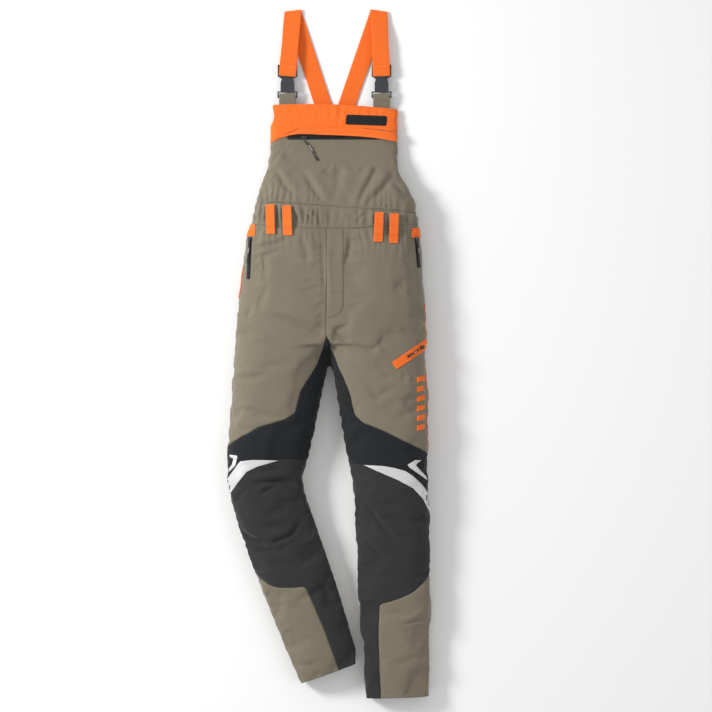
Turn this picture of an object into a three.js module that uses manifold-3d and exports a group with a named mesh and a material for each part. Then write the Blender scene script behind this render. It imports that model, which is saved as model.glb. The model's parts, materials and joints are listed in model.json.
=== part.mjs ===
// Chainsaw protective bib-and-brace trousers, laid on their back with the front upwards.
// Millimetres. +X is the wearer's left side, +Y points to the shoulders, +Z is up.
// The crotch is close to x = 0, y = 0 while the pieces are made, and the whole garment
// is centred over its own origin at the end.

import * as THREE from 'three';
import { mergeVertices } from 'three/addons/utils/BufferGeometryUtils.js';
import Module from 'manifold-3d';

const wasm = await Module();
wasm.setup();

// ---------------------------------------------------------------- driving dimensions

// Heights above the crotch.
const crotchWallY = 24;
const hipY = 210;
const waistbandBottomY = 284;
const waistbandHeight = 47;
const bibHeight = 226;

// Full widths, laid flat.
const seatWidth = 432;
const hipWidth = 404;
const waistWidth = 362;
const bibSideWidth = 292;
const bibTopWidth = 283;
const thighWidth = 214;
const kneeWidth = 169;
const calfWidth = 167;
const hemWidth = 142;

// Heights of the front above the floor.
const seatDepth = 92;
const waistDepth = 74;
const bibTopDepth = 18;
const kneeDepth = 80;
const hemDepth = 54;
const sideSeamHeight = 26;
const bibTopSeamHeight = 8;

// Legs. A lean is outward when it is positive.
const crotchX = 6;
const wearerRightLeg = { side: -1, length: 738, thighLean: 8.2, shinLean: -19.8, roll: 0.13 };
const wearerLeftLeg = { side: 1, length: 767, thighLean: 5.5, shinLean: 1.6, roll: -0.13 };
const kneeShare = 0.40;
const kneeBendShare = 0.08;

// Cloth layers, measured inwards from the outer face, and trims, measured outwards.
const shellThickness = 2.2;
const bagThickness = 1.2;
const inlayThickness = 5;
const trimThickness = 1.2;
const yokeThickness = 1.5;
const flapRoom = 5.4;
const loopRoom = 6.6;
const loopThickness = 1.6;
const gap = 0.3;

// Webbing straps, tabs and the side-release buckles.
const webbingWidth = 38;
const webbingThickness = 2;
const strapTopY = 773;
const buckleY = 621;
const buckleCentreZ = 14;
const femaleWidth = 31;
const femaleLength = 29;
const femaleThickness = 11;
const femaleWall = 1.8;
const frameWidth = 44;
const frameLength = 31;
const frameThickness = 4;
const frameBar = 4.5;
const armThickness = 4.2;
const armWidth = 3.2;
const barbReach = 3.4;
const buckleClearance = 0.5;
const tabTopZ = 13.4;
const tabTuck = 16;
const flangeWidth = 45;
const flangeLength = 14;
const mouthLength = 9;
const mouthTaper = 3;
const frameShoulder = 5;
const guideWidth = 5;
const guideThickness = 3;

// Zips.
const zipTapeWidth = 16;
const sliderLength = 12;
const sliderWidth = 8;
const sliderThickness = 3;
const sliderLift = 1.4;
const pullWidth = 5;
const pullThickness = 1.6;

const waistbandTopY = waistbandBottomY + waistbandHeight;
const bibTopY = waistbandTopY + bibHeight;

// ---------------------------------------------------------------- finishes

const finish = (color, roughness = 0.9, metalness = 0) =>
  new THREE.MeshStandardMaterial({ color, roughness, metalness });
const olive = finish(0x837b68);
const blackCloth = finish(0x1d2022);
const darkGreyCloth = finish(0x353435);
const orange = finish(0xf0701c, 0.8);
const silver = finish(0xc8c8cc, 0.4);
const charcoalPlastic = finish(0x2b2e32, 0.5);
const inlayCloth = finish(0xd9d3bf);
const webbingOrange = finish(0xf27a1e, 0.8);
const zipMetal = finish(0x45484c, 0.4, 0.8);

// ---------------------------------------------------------------- solids

const group = new THREE.Group();
const farAway = 2000;

function solid(geometry) {
  const bare = geometry.index ? geometry.toNonIndexed() : geometry.clone();
  bare.deleteAttribute('normal');
  bare.deleteAttribute('uv');
  const merged = mergeVertices(bare, 1e-4);
  const vertProperties = new Float32Array(merged.attributes.position.array);
  const triVerts = new Uint32Array(merged.index.array);
  return new wasm.Manifold(new wasm.Mesh({ numProp: 3, vertProperties, triVerts }));
}

// A seam that crosses a curved edge can leave a crumb of cloth, so a piece is its largest body.
function largest(manifold) {
  const bodies = manifold.decompose();
  return bodies.reduce((best, body) => (body.volume() > best.volume() ? body : best));
}

function add(name, manifold, material) {
  const { vertProperties, triVerts } = largest(manifold).getMesh();
  const geometry = new THREE.BufferGeometry();
  geometry.setAttribute('position', new THREE.BufferAttribute(new Float32Array(vertProperties), 3));
  geometry.setIndex(new THREE.BufferAttribute(new Uint32Array(triVerts), 1));
  const mesh = new THREE.Mesh(geometry, material);
  mesh.name = name;
  group.add(mesh);
}

// An upright prism over an outline, from one height to another.
function prism(outline, bottom = -100, top = 300) {
  const shape = new THREE.Shape(outline.map(([x, y]) => new THREE.Vector2(x, y)));
  const geometry = new THREE.ExtrudeGeometry(shape, { depth: top - bottom, bevelEnabled: false });
  return solid(geometry.translate(0, 0, bottom));
}

// The same outline, moved out by a distance.
function grow(outline, distance) {
  const ccw = THREE.ShapeUtils.area(outline.map(([x, y]) => ({ x, y }))) > 0;
  const points = ccw ? outline : [...outline].reverse();
  const outward = (from, to) => {
    const length = Math.hypot(to[0] - from[0], to[1] - from[1]);
    return [(to[1] - from[1]) / length, (from[0] - to[0]) / length];
  };
  return points.map((point, i) => {
    const before = outward(points.at(i - 1), point);
    const after = outward(point, points[(i + 1) % points.length]);
    const share = distance / (1 + before[0] * after[0] + before[1] * after[1]);
    return [point[0] + (before[0] + after[0]) * share, point[1] + (before[1] + after[1]) * share];
  });
}

const cutOut = (manifold, outline) => manifold.subtract(prism(grow(outline, gap)));
const keepIn = (manifold, outline) => manifold.intersect(prism(outline));

function rectangle(x0, y0, x1, y1) {
  return [[x0, y0], [x1, y0], [x1, y1], [x0, y1]];
}

// A value read between hand-chosen stations of [place, value, ...].
function between(stations, place, column) {
  const last = stations.length - 1;
  let i = 0;
  while (i < last - 1 && place > stations[i + 1][0]) i += 1;
  const [lower, upper] = [stations[i], stations[i + 1]];
  const share = THREE.MathUtils.clamp((place - lower[0]) / (upper[0] - lower[0]), -0.5, 1.5);
  return lower[column] + (upper[column] - lower[column]) * share;
}

// ---------------------------------------------------------------- body of the garment

const sectionSides = 24;
const legRoundness = 2.7;
const torsoRoundness = 3;
const bibRoundness = 5;
const backRoundness = 4;
const backFlattening = 1.12;

// Torso stations: y, centre x, full width, front height, side seam height, roundness.
const torsoStations = [
  [crotchWallY, crotchX + 2, seatWidth, seatDepth, sideSeamHeight, torsoRoundness],
  [(crotchWallY + hipY) / 2, 9, seatWidth - 11, seatDepth, sideSeamHeight, torsoRoundness],
  [hipY, 12, hipWidth, seatDepth - 3, sideSeamHeight, torsoRoundness],
  [waistbandBottomY - 17, 14, hipWidth - 10, seatDepth - 8, sideSeamHeight, torsoRoundness],
  [waistbandBottomY + 16, 17, waistWidth + 12, waistDepth + 6, sideSeamHeight, torsoRoundness],
  [waistbandTopY + 9, 18, waistWidth, waistDepth, sideSeamHeight - 1, torsoRoundness + 0.4],
  [waistbandTopY + bibHeight * 0.217, 14, (waistWidth + bibSideWidth) / 2 + 5, waistDepth * 0.81, 21, 4],
  [waistbandTopY + bibHeight * 0.354, 11, bibSideWidth + 8, waistDepth * 0.65, 17, bibRoundness],
  [waistbandTopY + bibHeight * 0.504, 13, bibSideWidth, waistDepth * 0.5, 14, bibRoundness],
  [waistbandTopY + bibHeight * 0.659, 15.5, bibSideWidth - 2, bibTopDepth + 11, 11, bibRoundness],
  [bibTopY, 16.5, bibTopWidth, bibTopDepth, bibTopSeamHeight, bibRoundness],
];

// Leg stations: share of the leg length, full width, front height.
const legStations = [
  [-0.09, thighWidth, seatDepth - 10],
  [0, thighWidth, seatDepth],
  [0.1, thighWidth - 9, seatDepth - 2],
  [0.2, thighWidth - 19, seatDepth - 4],
  [0.3, (thighWidth - 19 + kneeWidth) / 2, (seatDepth - 4 + kneeDepth) / 2],
  [0.38, kneeWidth, kneeDepth],
  [0.48, kneeWidth - 1, kneeDepth - 6],
  [0.6, calfWidth, kneeDepth - 12],
  [0.75, calfWidth - 3, hemDepth + 7],
  [0.88, (calfWidth + hemWidth) / 2, hemDepth + 3],
  [1, hemWidth, hemDepth],
];

const degrees = Math.PI / 180;

// The middle line of a leg bends smoothly at the knee. It is walked in short steps.
function legMiddle(leg, share) {
  const steps = 60;
  const step = share / steps;
  let [x, y] = [crotchX + leg.side * seatWidth / 4, 0];
  let lean = 0;
  for (let i = 0; i <= steps; i += 1) {
    const bend = THREE.MathUtils.smoothstep(
      (i + 0.5) * step, kneeShare - kneeBendShare, kneeShare + kneeBendShare);
    lean = (leg.thighLean + (leg.shinLean - leg.thighLean) * bend) * degrees;
    if (i === steps) break;
    x += leg.side * Math.sin(lean) * step * leg.length;
    y -= Math.cos(lean) * step * leg.length;
  }
  return { x, y, outward: [leg.side * Math.cos(lean), Math.sin(lean)] };
}

// A place on a leg: across from -1 at the inner edge to 1 at the outer edge, and down the leg.
function legPoint(leg, across, share) {
  const middle = legMiddle(leg, share);
  const reach = across * between(legStations, share, 1) / 2;
  return [middle.x + middle.outward[0] * reach, middle.y + middle.outward[1] * reach];
}

// Seams are drawn for both legs at once, and each leg lies rolled a little on the floor.
const seamPoint = (leg, across, share) => legPoint(leg, across + leg.roll * (1 - across * across), share);
const onLeg = (leg, points) => points.map(([across, share]) => seamPoint(leg, across, share));

function legSections(leg, offset) {
  const ends = offset < 0 ? 0.01 : 0;
  return legStations.map(([share, width, height]) => {
    const place = share === 1 ? share + ends : share;
    const middle = legMiddle(leg, place);
    const [ox, oy] = middle.outward;
    return {
      centre: [middle.x, middle.y],
      across: [ox * leg.side, oy * leg.side],
      half: width / 2 + offset,
      seam: sideSeamHeight,
      rise: height - sideSeamHeight + offset,
      sink: sideSeamHeight + offset,
      round: legRoundness,
    };
  });
}

function torsoSections(offset) {
  const last = torsoStations.length - 1;
  return torsoStations.map(([y, x, width, height, seam, round], i) => {
    const inwards = Math.max(-offset, 0);
    const lift = (i === 0 ? inwards : 0) + (i === last ? inwards : 0);
    return {
      centre: [x, y + lift],
      across: [1, 0],
      half: width / 2 + offset,
      seam,
      rise: height - seam + offset,
      sink: seam + offset,
      round,
    };
  }).reverse();
}

// Each ring of a closed cylinder becomes one cross-section: a rounded front and a flattened back.
function loft(sections) {
  const geometry = new THREE.CylinderGeometry(1, 1, 1, sectionSides, sections.length - 1);
  const position = geometry.attributes.position;
  const tiny = 1e-9;
  const power = (value, exponent) =>
    (Math.abs(value) < tiny ? 0 : Math.sign(value) * Math.abs(value) ** exponent);
  for (let i = 0; i < position.count; i += 1) {
    const row = Math.round((0.5 - position.getY(i)) * (sections.length - 1));
    const { centre, across, half, seam, rise, sink, round } = sections[row];
    const front = position.getZ(i) > -tiny;
    const sideways = half * power(position.getX(i), 2 / (front ? round : backRoundness));
    const up = Math.abs(position.getZ(i));
    const height = front
      ? rise * power(up, 2 / round)
      : -Math.min(sink * backFlattening * power(up, 2 / backRoundness), sink);
    position.setXYZ(i, centre[0] + across[0] * sideways, centre[1] + across[1] * sideways, seam + height);
  }
  return solid(geometry);
}

const legs = { right: wearerRightLeg, left: wearerLeftLeg };
const bodies = new Map();

// The whole garment as one solid, grown or shrunk by an offset.
function garment(offset) {
  if (!bodies.has(offset)) {
    const parts = [loft(torsoSections(offset))];
    for (const leg of Object.values(legs)) parts.push(loft(legSections(leg, offset)));
    bodies.set(offset, parts.reduce((sum, part) => sum.add(part)));
  }
  return bodies.get(offset);
}

const layer = (outer, inner) => garment(outer).subtract(garment(inner));

// The side seam parts the front from the back: a slab above it and a slab below it.
function slab(above) {
  const shift = (above ? gap : -gap) / 2;
  const seam = torsoStations.map(([y, , , , height]) => [y, height + shift]);
  const outline = [[-farAway, seam[0][1]], ...seam, [farAway, seam.at(-1)[1]]];
  const edge = above ? farAway : -farAway;
  outline.push([farAway, edge], [-farAway, edge]);
  const shape = new THREE.Shape(outline.map(([y, z]) => new THREE.Vector2(y, z)));
  const geometry = new THREE.ExtrudeGeometry(shape, { depth: 2 * farAway, bevelEnabled: false });
  const turn = new THREE.Matrix4().makeBasis(
    new THREE.Vector3(0, 1, 0), new THREE.Vector3(0, 0, 1), new THREE.Vector3(1, 0, 0));
  return solid(geometry.applyMatrix4(turn).translate(-farAway, 0, 0));
}

const frontSlab = slab(true);
const backSlab = slab(false);

// ---------------------------------------------------------------- seam lines

const centreSeamX = -1;
const gussetTopY = 46;

// The line between the legs: the centre seam down to the crotch, then the middle of the gap.
const betweenLegs = [];
for (let share = 0.02; share < 1.1; share += 0.07) {
  const inner = Object.values(legs).map((leg) => legPoint(leg, -1, share));
  betweenLegs.push([(inner[0][0] + inner[1][0]) / 2, (inner[0][1] + inner[1][1]) / 2]);
}
const rightSide = [
  [-farAway, farAway], [centreSeamX, farAway], [centreSeamX, gussetTopY], [crotchX, 8],
  ...betweenLegs, [betweenLegs.at(-1)[0], -farAway], [-farAway, -farAway],
];

// The waistband dips a little to the wearer's left, and its lower edge sags at the sides.
const waistTilt = -0.073;
const waistTop = (x) => waistbandTopY + waistTilt * (x - 16);
const aboveWaist = [
  [-farAway, waistTop(-260)], [-260, waistTop(-260)], [260, waistTop(260)],
  [farAway, waistTop(260)], [farAway, farAway], [-farAway, farAway],
];
const waistbandFlat = [-20, 60];
const waistbandSideLift = 12;
const belowWaist = [
  [-farAway, waistbandBottomY + waistbandSideLift], [-260, waistbandBottomY + waistbandSideLift],
  [waistbandFlat[0], waistbandBottomY - 3], [waistbandFlat[1], waistbandBottomY - 3],
  [260, waistbandBottomY + waistbandSideLift], [farAway, waistbandBottomY + waistbandSideLift],
  [farAway, -farAway], [-farAway, -farAway],
];

// Below the knee seam. The seam starts high on the inner leg and drops to the outer leg.
const kneeSeam = [[-1.02, 0.303], [-0.45, 0.31], [0, 0.32], [0.5, 0.345], [0.8, 0.375], [1.02, 0.405]];
const shinArea = (leg) => onLeg(leg, [...kneeSeam, [1.02, 0.7], [1.02, 1.03], [-1.02, 1.03], [-1.02, 0.7]]);

// The black inner-thigh and knee panel, which reaches up to the crotch gusset.
const blackEdge = [[-0.6, 0.1], [-0.58, 0.165], [-0.4, 0.188], [0.1, 0.22], [0.6, 0.262], [1.04, 0.3]];
const blackArea = (leg) => [
  [centreSeamX, gussetTopY], seamPoint(leg, -0.83, 0.01), ...onLeg(leg, blackEdge),
  ...onLeg(leg, [[1.04, 0.42], [0.3, 0.42], [-1.04, 0.42], [-1.04, 0.3], [-1.04, 0.1]]), [crotchX, 2],
];

// The olive patch at the ankle, on the outer side.
const ankleArea = (leg) => onLeg(leg, [
  [1.04, 0.63], [0.86, 0.66], [0.6, 0.69], [0.2, 0.71], [-0.3, 0.724], [-0.38, 0.85], [-0.42, 1.03],
  [1.04, 1.03],
]);

// ---------------------------------------------------------------- legs

const frontShell = layer(0, -shellThickness).intersect(frontSlab);
const backShell = layer(0, -shellThickness).intersect(backSlab);
const bagOuter = -(shellThickness + gap);
const inlayOuter = bagOuter - bagThickness - gap;
const inlayFull = layer(inlayOuter, inlayOuter - inlayThickness).intersect(frontSlab);
const flashLayer = layer(gap + trimThickness, gap).intersect(frontSlab);

const inlayTop = 0.05;
const inlayBottom = 0.95;
const inlayArea = (leg) => onLeg(leg, [
  [-0.97, inlayTop], [0.97, inlayTop], [0.97, 0.3], [0.97, 0.5], [0.97, 0.75], [0.97, inlayBottom],
  [-0.97, inlayBottom], [-0.97, 0.75], [-0.97, 0.5], [-0.97, 0.3],
]);

// The reflective flash sweeps from a point on the inner knee to a wide end on the outer calf.
const flashArea = (leg) => onLeg(leg, [
  [-0.47, 0.3145], [0, 0.325], [0.5, 0.35], [0.8, 0.38], [0.99, 0.408], [0.99, 0.447],
  [0.86, 0.412], [0.62, 0.387], [0.3, 0.365], [-0.05, 0.345],
]);

for (const [name, leg] of Object.entries(legs)) {
  const own = (manifold) => (name === 'right' ? keepIn(manifold, rightSide) : cutOut(manifold, rightSide));
  const front = cutOut(own(frontShell), aboveWaist);
  const back = cutOut(own(backShell), aboveWaist);
  const lowerFront = keepIn(front, belowWaist);
  const lowerBack = keepIn(back, belowWaist);
  const shin = keepIn(lowerFront, shinArea(leg));
  const thigh = cutOut(lowerFront, shinArea(leg));
  const inlay = keepIn(own(inlayFull), inlayArea(leg));

  add(`${name}_front_thigh`, cutOut(thigh, blackArea(leg)), olive);
  add(`${name}_inner_thigh`, keepIn(thigh, blackArea(leg)), blackCloth);
  add(`${name}_front_shin`, cutOut(shin, ankleArea(leg)), darkGreyCloth);
  add(`${name}_ankle_patch`, keepIn(shin, ankleArea(leg)), olive);
  add(`${name}_back_thigh`, cutOut(lowerBack, shinArea(leg)), olive);
  add(`${name}_back_shin`, keepIn(lowerBack, shinArea(leg)), olive);
  add(`${name}_thigh_inlay`, cutOut(inlay, shinArea(leg)), inlayCloth);
  add(`${name}_shin_inlay`, keepIn(inlay, shinArea(leg)), inlayCloth);
  add(`${name}_knee_flash`, keepIn(flashLayer, flashArea(leg)), silver);
}

// ---------------------------------------------------------------- waistband, loops and fly

const waistband = cutOut(cutOut(frontShell, aboveWaist), belowWaist);
add('waistband_front', waistband, olive);
add('waistband_back', cutOut(cutOut(backShell, aboveWaist), belowWaist), olive);

// A belt loop is a strip sewn down at both ends, with room for a belt behind it.
const loopWidth = 21;
const loopLength = 66;
const loopFoot = 11;
const loopTopMargin = 5;
const loopPlaces = { right_outer: -127, right_inner: -89, left_inner: 113, left_outer: 148 };
for (const [name, x] of Object.entries(loopPlaces)) {
  const top = waistTop(x + loopWidth / 2) - loopTopMargin;
  const bottom = top - loopLength;
  const strip = layer(loopRoom + loopThickness, gap).intersect(frontSlab);
  const room = prism(rectangle(x - loopWidth, bottom + loopFoot, x + loopWidth, top - loopFoot));
  const outline = rectangle(x - loopWidth / 2, bottom, x + loopWidth / 2, top);
  add(`${name}_belt_loop`, keepIn(strip, outline).subtract(garment(loopRoom).intersect(room)), orange);
}

// The fly facing is a strip beside the centre seam with a curved lower end.
const flyWidth = 36;
const flyTopY = waistbandBottomY - 5;
const flyBottomY = 84;
const flyCurve = new THREE.CubicBezierCurve(
  new THREE.Vector2(centreSeamX + flyWidth, flyBottomY + 60),
  new THREE.Vector2(centreSeamX + flyWidth, flyBottomY + 25),
  new THREE.Vector2(centreSeamX + flyWidth * 0.7, flyBottomY + 4),
  new THREE.Vector2(centreSeamX + 2, flyBottomY));
const flyOutline = [
  [centreSeamX + 2, flyTopY], [centreSeamX + flyWidth, flyTopY],
  ...flyCurve.getPoints(5).map(({ x, y }) => [x, y]),
];
const trimLayer = layer(gap + trimThickness, gap).intersect(frontSlab);
add('fly_facing', keepIn(trimLayer, flyOutline), olive);

// The fly zip runs behind the front, on its inner face.
const bagLayer = layer(bagOuter, bagOuter - bagThickness).intersect(frontSlab);
const flyZipX = centreSeamX + flyWidth / 2;
const flyZip = rectangle(
  flyZipX - zipTapeWidth / 2, flyBottomY + 12, flyZipX + zipTapeWidth / 2, flyTopY - 2);
add('fly_zip_tape', keepIn(bagLayer, flyZip), blackCloth);

// ---------------------------------------------------------------- places on the surface

// Height of the torso's front at a point, and the upward direction of the cloth there.
function torsoHeight(x, y) {
  const [centre, width, height, seam, round] = [1, 2, 3, 4, 5].map((column) => between(torsoStations, y, column));
  const across = Math.min(Math.abs(x - centre) / (width / 2), 0.999);
  return seam + (height - seam) * (1 - across ** round) ** (1 / round);
}

function surfaceNormal(heightAt, x, y) {
  const reach = 4;
  return new THREE.Vector3(
    heightAt(x - reach, y) - heightAt(x + reach, y),
    heightAt(x, y - reach) - heightAt(x, y + reach),
    2 * reach).normalize();
}

// The thigh pocket lies on a leg, where a point is found by the nearest place on the middle line.
function legHeight(leg) {
  return (x, y) => {
    let share = -y / leg.length;
    for (let i = 0; i < 4; i += 1) share -= (y - legMiddle(leg, share).y) / -leg.length;
    const middle = legMiddle(leg, share);
    const half = between(legStations, share, 1) / 2;
    const across = Math.min(Math.abs(x - middle.x) / half, 0.999);
    const height = between(legStations, share, 2);
    const rise = (1 - across ** legRoundness) ** (1 / legRoundness);
    return sideSeamHeight + (height - sideSeamHeight) * rise;
  };
}

// Moves a piece, drawn flat with its length along +X, onto the cloth at x, y. The piece points
// at the place on the cloth that its own reach away along the heading.
function settle(geometry, heightAt, x, y, heading, lift, reach = sliderLength / 2) {
  const start = new THREE.Vector3(x, y, heightAt(x, y));
  const [endX, endY] = [x + Math.cos(heading) * reach, y + Math.sin(heading) * reach];
  const forward = new THREE.Vector3(endX, endY, heightAt(endX, endY)).sub(start).normalize();
  const cloth = surfaceNormal(heightAt, (x + endX) / 2, (y + endY) / 2);
  const sideways = new THREE.Vector3().crossVectors(cloth, forward).normalize();
  const normal = new THREE.Vector3().crossVectors(forward, sideways);
  const place = new THREE.Matrix4().makeBasis(forward, sideways, normal);
  place.setPosition(start.addScaledVector(normal, lift));
  return solid(geometry.applyMatrix4(place));
}

function flatPiece(outline, thickness) {
  const shape = new THREE.Shape(outline.map(([x, y]) => new THREE.Vector2(x, y)));
  return new THREE.ExtrudeGeometry(shape, { depth: thickness, bevelEnabled: false });
}

// A zip slider: pointed at the front, square at the back. Its length runs along the zip.
function sliderShape() {
  const [l, w] = [sliderLength / 2, sliderWidth / 2];
  return flatPiece([[-l, -w * 0.7], [l * 0.3, -w], [l, -w * 0.55], [l, w * 0.55], [l * 0.3, w], [-l, w * 0.7]],
    sliderThickness);
}

// A pull starts at the slider's end and is longer than it is wide, with a rounded tip.
function pullShape(length) {
  const shape = new THREE.Shape();
  shape.moveTo(0, -pullWidth * 0.3);
  shape.lineTo(length * 0.55, -pullWidth * 0.3);
  shape.lineTo(length * 0.62, -pullWidth / 2);
  shape.lineTo(length - pullWidth / 2, -pullWidth / 2);
  shape.absarc(length - pullWidth / 2, 0, pullWidth / 2, -Math.PI / 2, Math.PI / 2, false);
  shape.lineTo(length * 0.62, pullWidth / 2);
  shape.lineTo(length * 0.55, pullWidth * 0.3);
  shape.lineTo(0, pullWidth * 0.3);
  return new THREE.ExtrudeGeometry(shape, { depth: pullThickness, bevelEnabled: false, curveSegments: 3 });
}

// A slider with its pull lying along a heading, past the slider's end.
function zipSet(name, heightAt, x, y, zipHeading, pullHeading, pullLength) {
  add(`${name}_zip_slider`, settle(sliderShape(), heightAt, x, y, zipHeading, sliderLift), zipMetal);
  const reach = sliderLength / 2 + 1;
  const [px, py] = [x + Math.cos(pullHeading) * reach, y + Math.sin(pullHeading) * reach];
  const pull = settle(pullShape(pullLength), heightAt, px, py, pullHeading, sliderLift + gap, pullLength);
  add(`${name}_zip_pull`, pull, blackCloth);
}

// ---------------------------------------------------------------- pockets

const pocketTopY = 266;
const pocketWeltLength = 30;
const pocketWeltWidth = 19;
const sidePockets = {
  right_hip: { welt: -170, bag: [-178, -92], slider: -172, heading: -96 },
  left_hip: { welt: 197, bag: [112, 204], slider: 198, heading: -84 },
};
for (const [name, pocket] of Object.entries(sidePockets)) {
  const edge = pocket.welt - pocketWeltWidth / 2;
  const welt = rectangle(edge, pocketTopY, edge + pocketWeltWidth, pocketTopY + pocketWeltLength - 8);
  add(`${name}_pocket_welt`, keepIn(trimLayer, welt), orange);
  const bag = rectangle(pocket.bag[0], pocketTopY - 130, pocket.bag[1], pocketTopY);
  add(`${name}_pocket_bag`, keepIn(bagLayer, bag), blackCloth);
  const heading = pocket.heading * degrees;
  zipSet(name, torsoHeight, pocket.slider, pocketTopY - 8, heading, heading, 46);
}

// The thigh pocket has a slanted welt on the wearer's left leg.
const thighPocket = { inner: [148, -23], tilt: 34, length: 94, width: 20 };
const slant = thighPocket.tilt * degrees;
const alongWelt = (distance, side) => [
  thighPocket.inner[0] + Math.cos(slant) * distance - Math.sin(slant) * side,
  thighPocket.inner[1] + Math.sin(slant) * distance + Math.cos(slant) * side,
];
const weltHalf = thighPocket.width / 2;
const weltEnd = thighPocket.length;
const thighWelt = [
  alongWelt(0, -weltHalf), alongWelt(weltEnd, -weltHalf), alongWelt(weltEnd, weltHalf), alongWelt(0, weltHalf),
];
add('thigh_pocket_welt', keepIn(trimLayer, thighWelt), orange);
const onThigh = legHeight(wearerLeftLeg);
const [thighSliderX, thighSliderY] = alongWelt(weltEnd - 22, 0);
const thighSliderLift = sliderLift + 2.4;
const thighZip = slant + Math.PI;
add('thigh_pocket_zip_slider',
  settle(sliderShape(), onThigh, thighSliderX, thighSliderY, thighZip, thighSliderLift), zipMetal);
const [thighPullX, thighPullY] = alongWelt(weltEnd - 22 - sliderLength / 2 - 1, 0);
add('thigh_pocket_zip_pull',
  settle(pullShape(34), onThigh, thighPullX, thighPullY, thighZip, thighSliderLift + gap, 34), blackCloth);

// The fly slider hangs under the zip tape, inside.
const flySliderDepth = shellThickness + bagThickness + sliderThickness + 4 * gap + 1;
add('fly_zip_slider',
  settle(sliderShape(), torsoHeight, flyZipX, flyTopY - 14, -Math.PI / 2, -flySliderDepth), zipMetal);

// A flat button sits behind the waistband, at the top of the fly.
const buttonRadius = 8.5;
const buttonThickness = 3;
const button = new THREE.CylinderGeometry(buttonRadius, buttonRadius, buttonThickness, 16);
button.rotateX(Math.PI / 2).translate(0, 0, buttonThickness / 2);
add('waist_button',
  settle(button, torsoHeight, flyZipX + 8, waistbandBottomY + 16, 0, -(shellThickness + buttonThickness + 1)),
  zipMetal);

// ---------------------------------------------------------------- bib

const bib = keepIn(frontShell, aboveWaist);
add('bib_panel', bib, olive);

const backTopWidth = 78;
const strapEndY = 545;
const backTop = [[16 - backTopWidth / 2, strapEndY - gap], [16 + backTopWidth / 2, strapEndY - gap]];
const backOutline = [
  [-farAway, -farAway], [-farAway, waistbandTopY + 70], [-110, waistbandTopY + 84],
  ...backTop, [140, waistbandTopY + 84], [farAway, waistbandTopY + 70], [farAway, -farAway],
];
add('back_bib_panel', keepIn(keepIn(backShell, aboveWaist), backOutline), olive);

// The yoke's lower edge is the flap's sewn edge. It rises from both sides to the middle.
const yokeDrop = 47;
const flapDepth = 22;
const yokeEdge = [
  [-160, bibTopY - 82], [-130, bibTopY - 81], [-99, bibTopY - 64], [-61, bibTopY - yokeDrop],
  [73, bibTopY - yokeDrop], [159, bibTopY - 56], [200, bibTopY - 60],
];
const yokeArea = [...yokeEdge, [200, farAway], [-160, farAway]];
add('bib_yoke', keepIn(layer(gap + yokeThickness, gap).intersect(frontSlab), yokeArea), orange);

const flapTopMargin = 1.5;
const flapArea = [
  [-116, bibTopY - 77], [-65, bibTopY - yokeDrop - flapDepth + 7], [73, bibTopY - yokeDrop - flapDepth],
  [125, bibTopY - 72], [152, bibTopY - 79],
  ...yokeEdge.slice(2, 6).reverse().map(([x, y]) => [Math.min(x, 152), y - flapTopMargin]),
];
const flapLayer = layer(flapRoom + yokeThickness, flapRoom).intersect(frontSlab);
add('bib_pocket_flap', keepIn(flapLayer, flapArea), orange);

// The bib pocket's zip lies under the flap and runs across the bib.
const bibZipY = bibTopY - 70;
const bibZip = { start: -92, end: 118, slider: -52 };
add('bib_zip_tape', keepIn(trimLayer,
  rectangle(bibZip.start, bibZipY - zipTapeWidth / 2, bibZip.end, bibZipY + zipTapeWidth / 2)), blackCloth);
const bibBag = rectangle(bibZip.start, bibZipY - 120, bibZip.end, bibZipY);
add('bib_pocket_bag', keepIn(bagLayer, bibBag), blackCloth);

add('bib_zip_slider',
  settle(sliderShape(), torsoHeight, bibZip.slider, bibZipY, Math.PI, trimThickness + 2 * gap + 0.2), zipMetal);
const bibPullHeading = -56 * degrees;
const bibPullStart = [bibZip.slider, bibZipY - sliderWidth / 2 - 3];
add('bib_zip_pull',
  settle(pullShape(56), torsoHeight, ...bibPullStart, bibPullHeading, trimThickness + 3 * gap, 56), blackCloth);

// ---------------------------------------------------------------- straps and buckles

// A flat band through cross-sections, each with a middle, a half-width vector and a normal.
function band(sections, thickness) {
  const geometry = new THREE.BoxGeometry(1, 1, 1, 1, sections.length - 1, 1);
  const position = geometry.attributes.position;
  for (let i = 0; i < position.count; i += 1) {
    const row = Math.round((0.5 - position.getY(i)) * (sections.length - 1));
    const { middle, half, normal } = sections[row];
    const point = middle.clone().addScaledVector(half, 2 * position.getX(i));
    point.addScaledVector(normal, thickness * position.getZ(i));
    position.setXYZ(i, point.x, point.y, point.z);
  }
  return solid(geometry);
}

const strapFrontEndY = buckleY + 3;
const strapFrontZ = buckleCentreZ - 4.4;
const strapBackZ = 1.4;
const foldTopZ = 5.6;
const backMiddleX = 16.5;
const backSpread = webbingWidth * 0.54;
const straps = {
  right: { x: -90, top: -78, back: backMiddleX - backSpread },
  left: { x: 121, top: 115, back: backMiddleX + backSpread },
};

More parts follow.
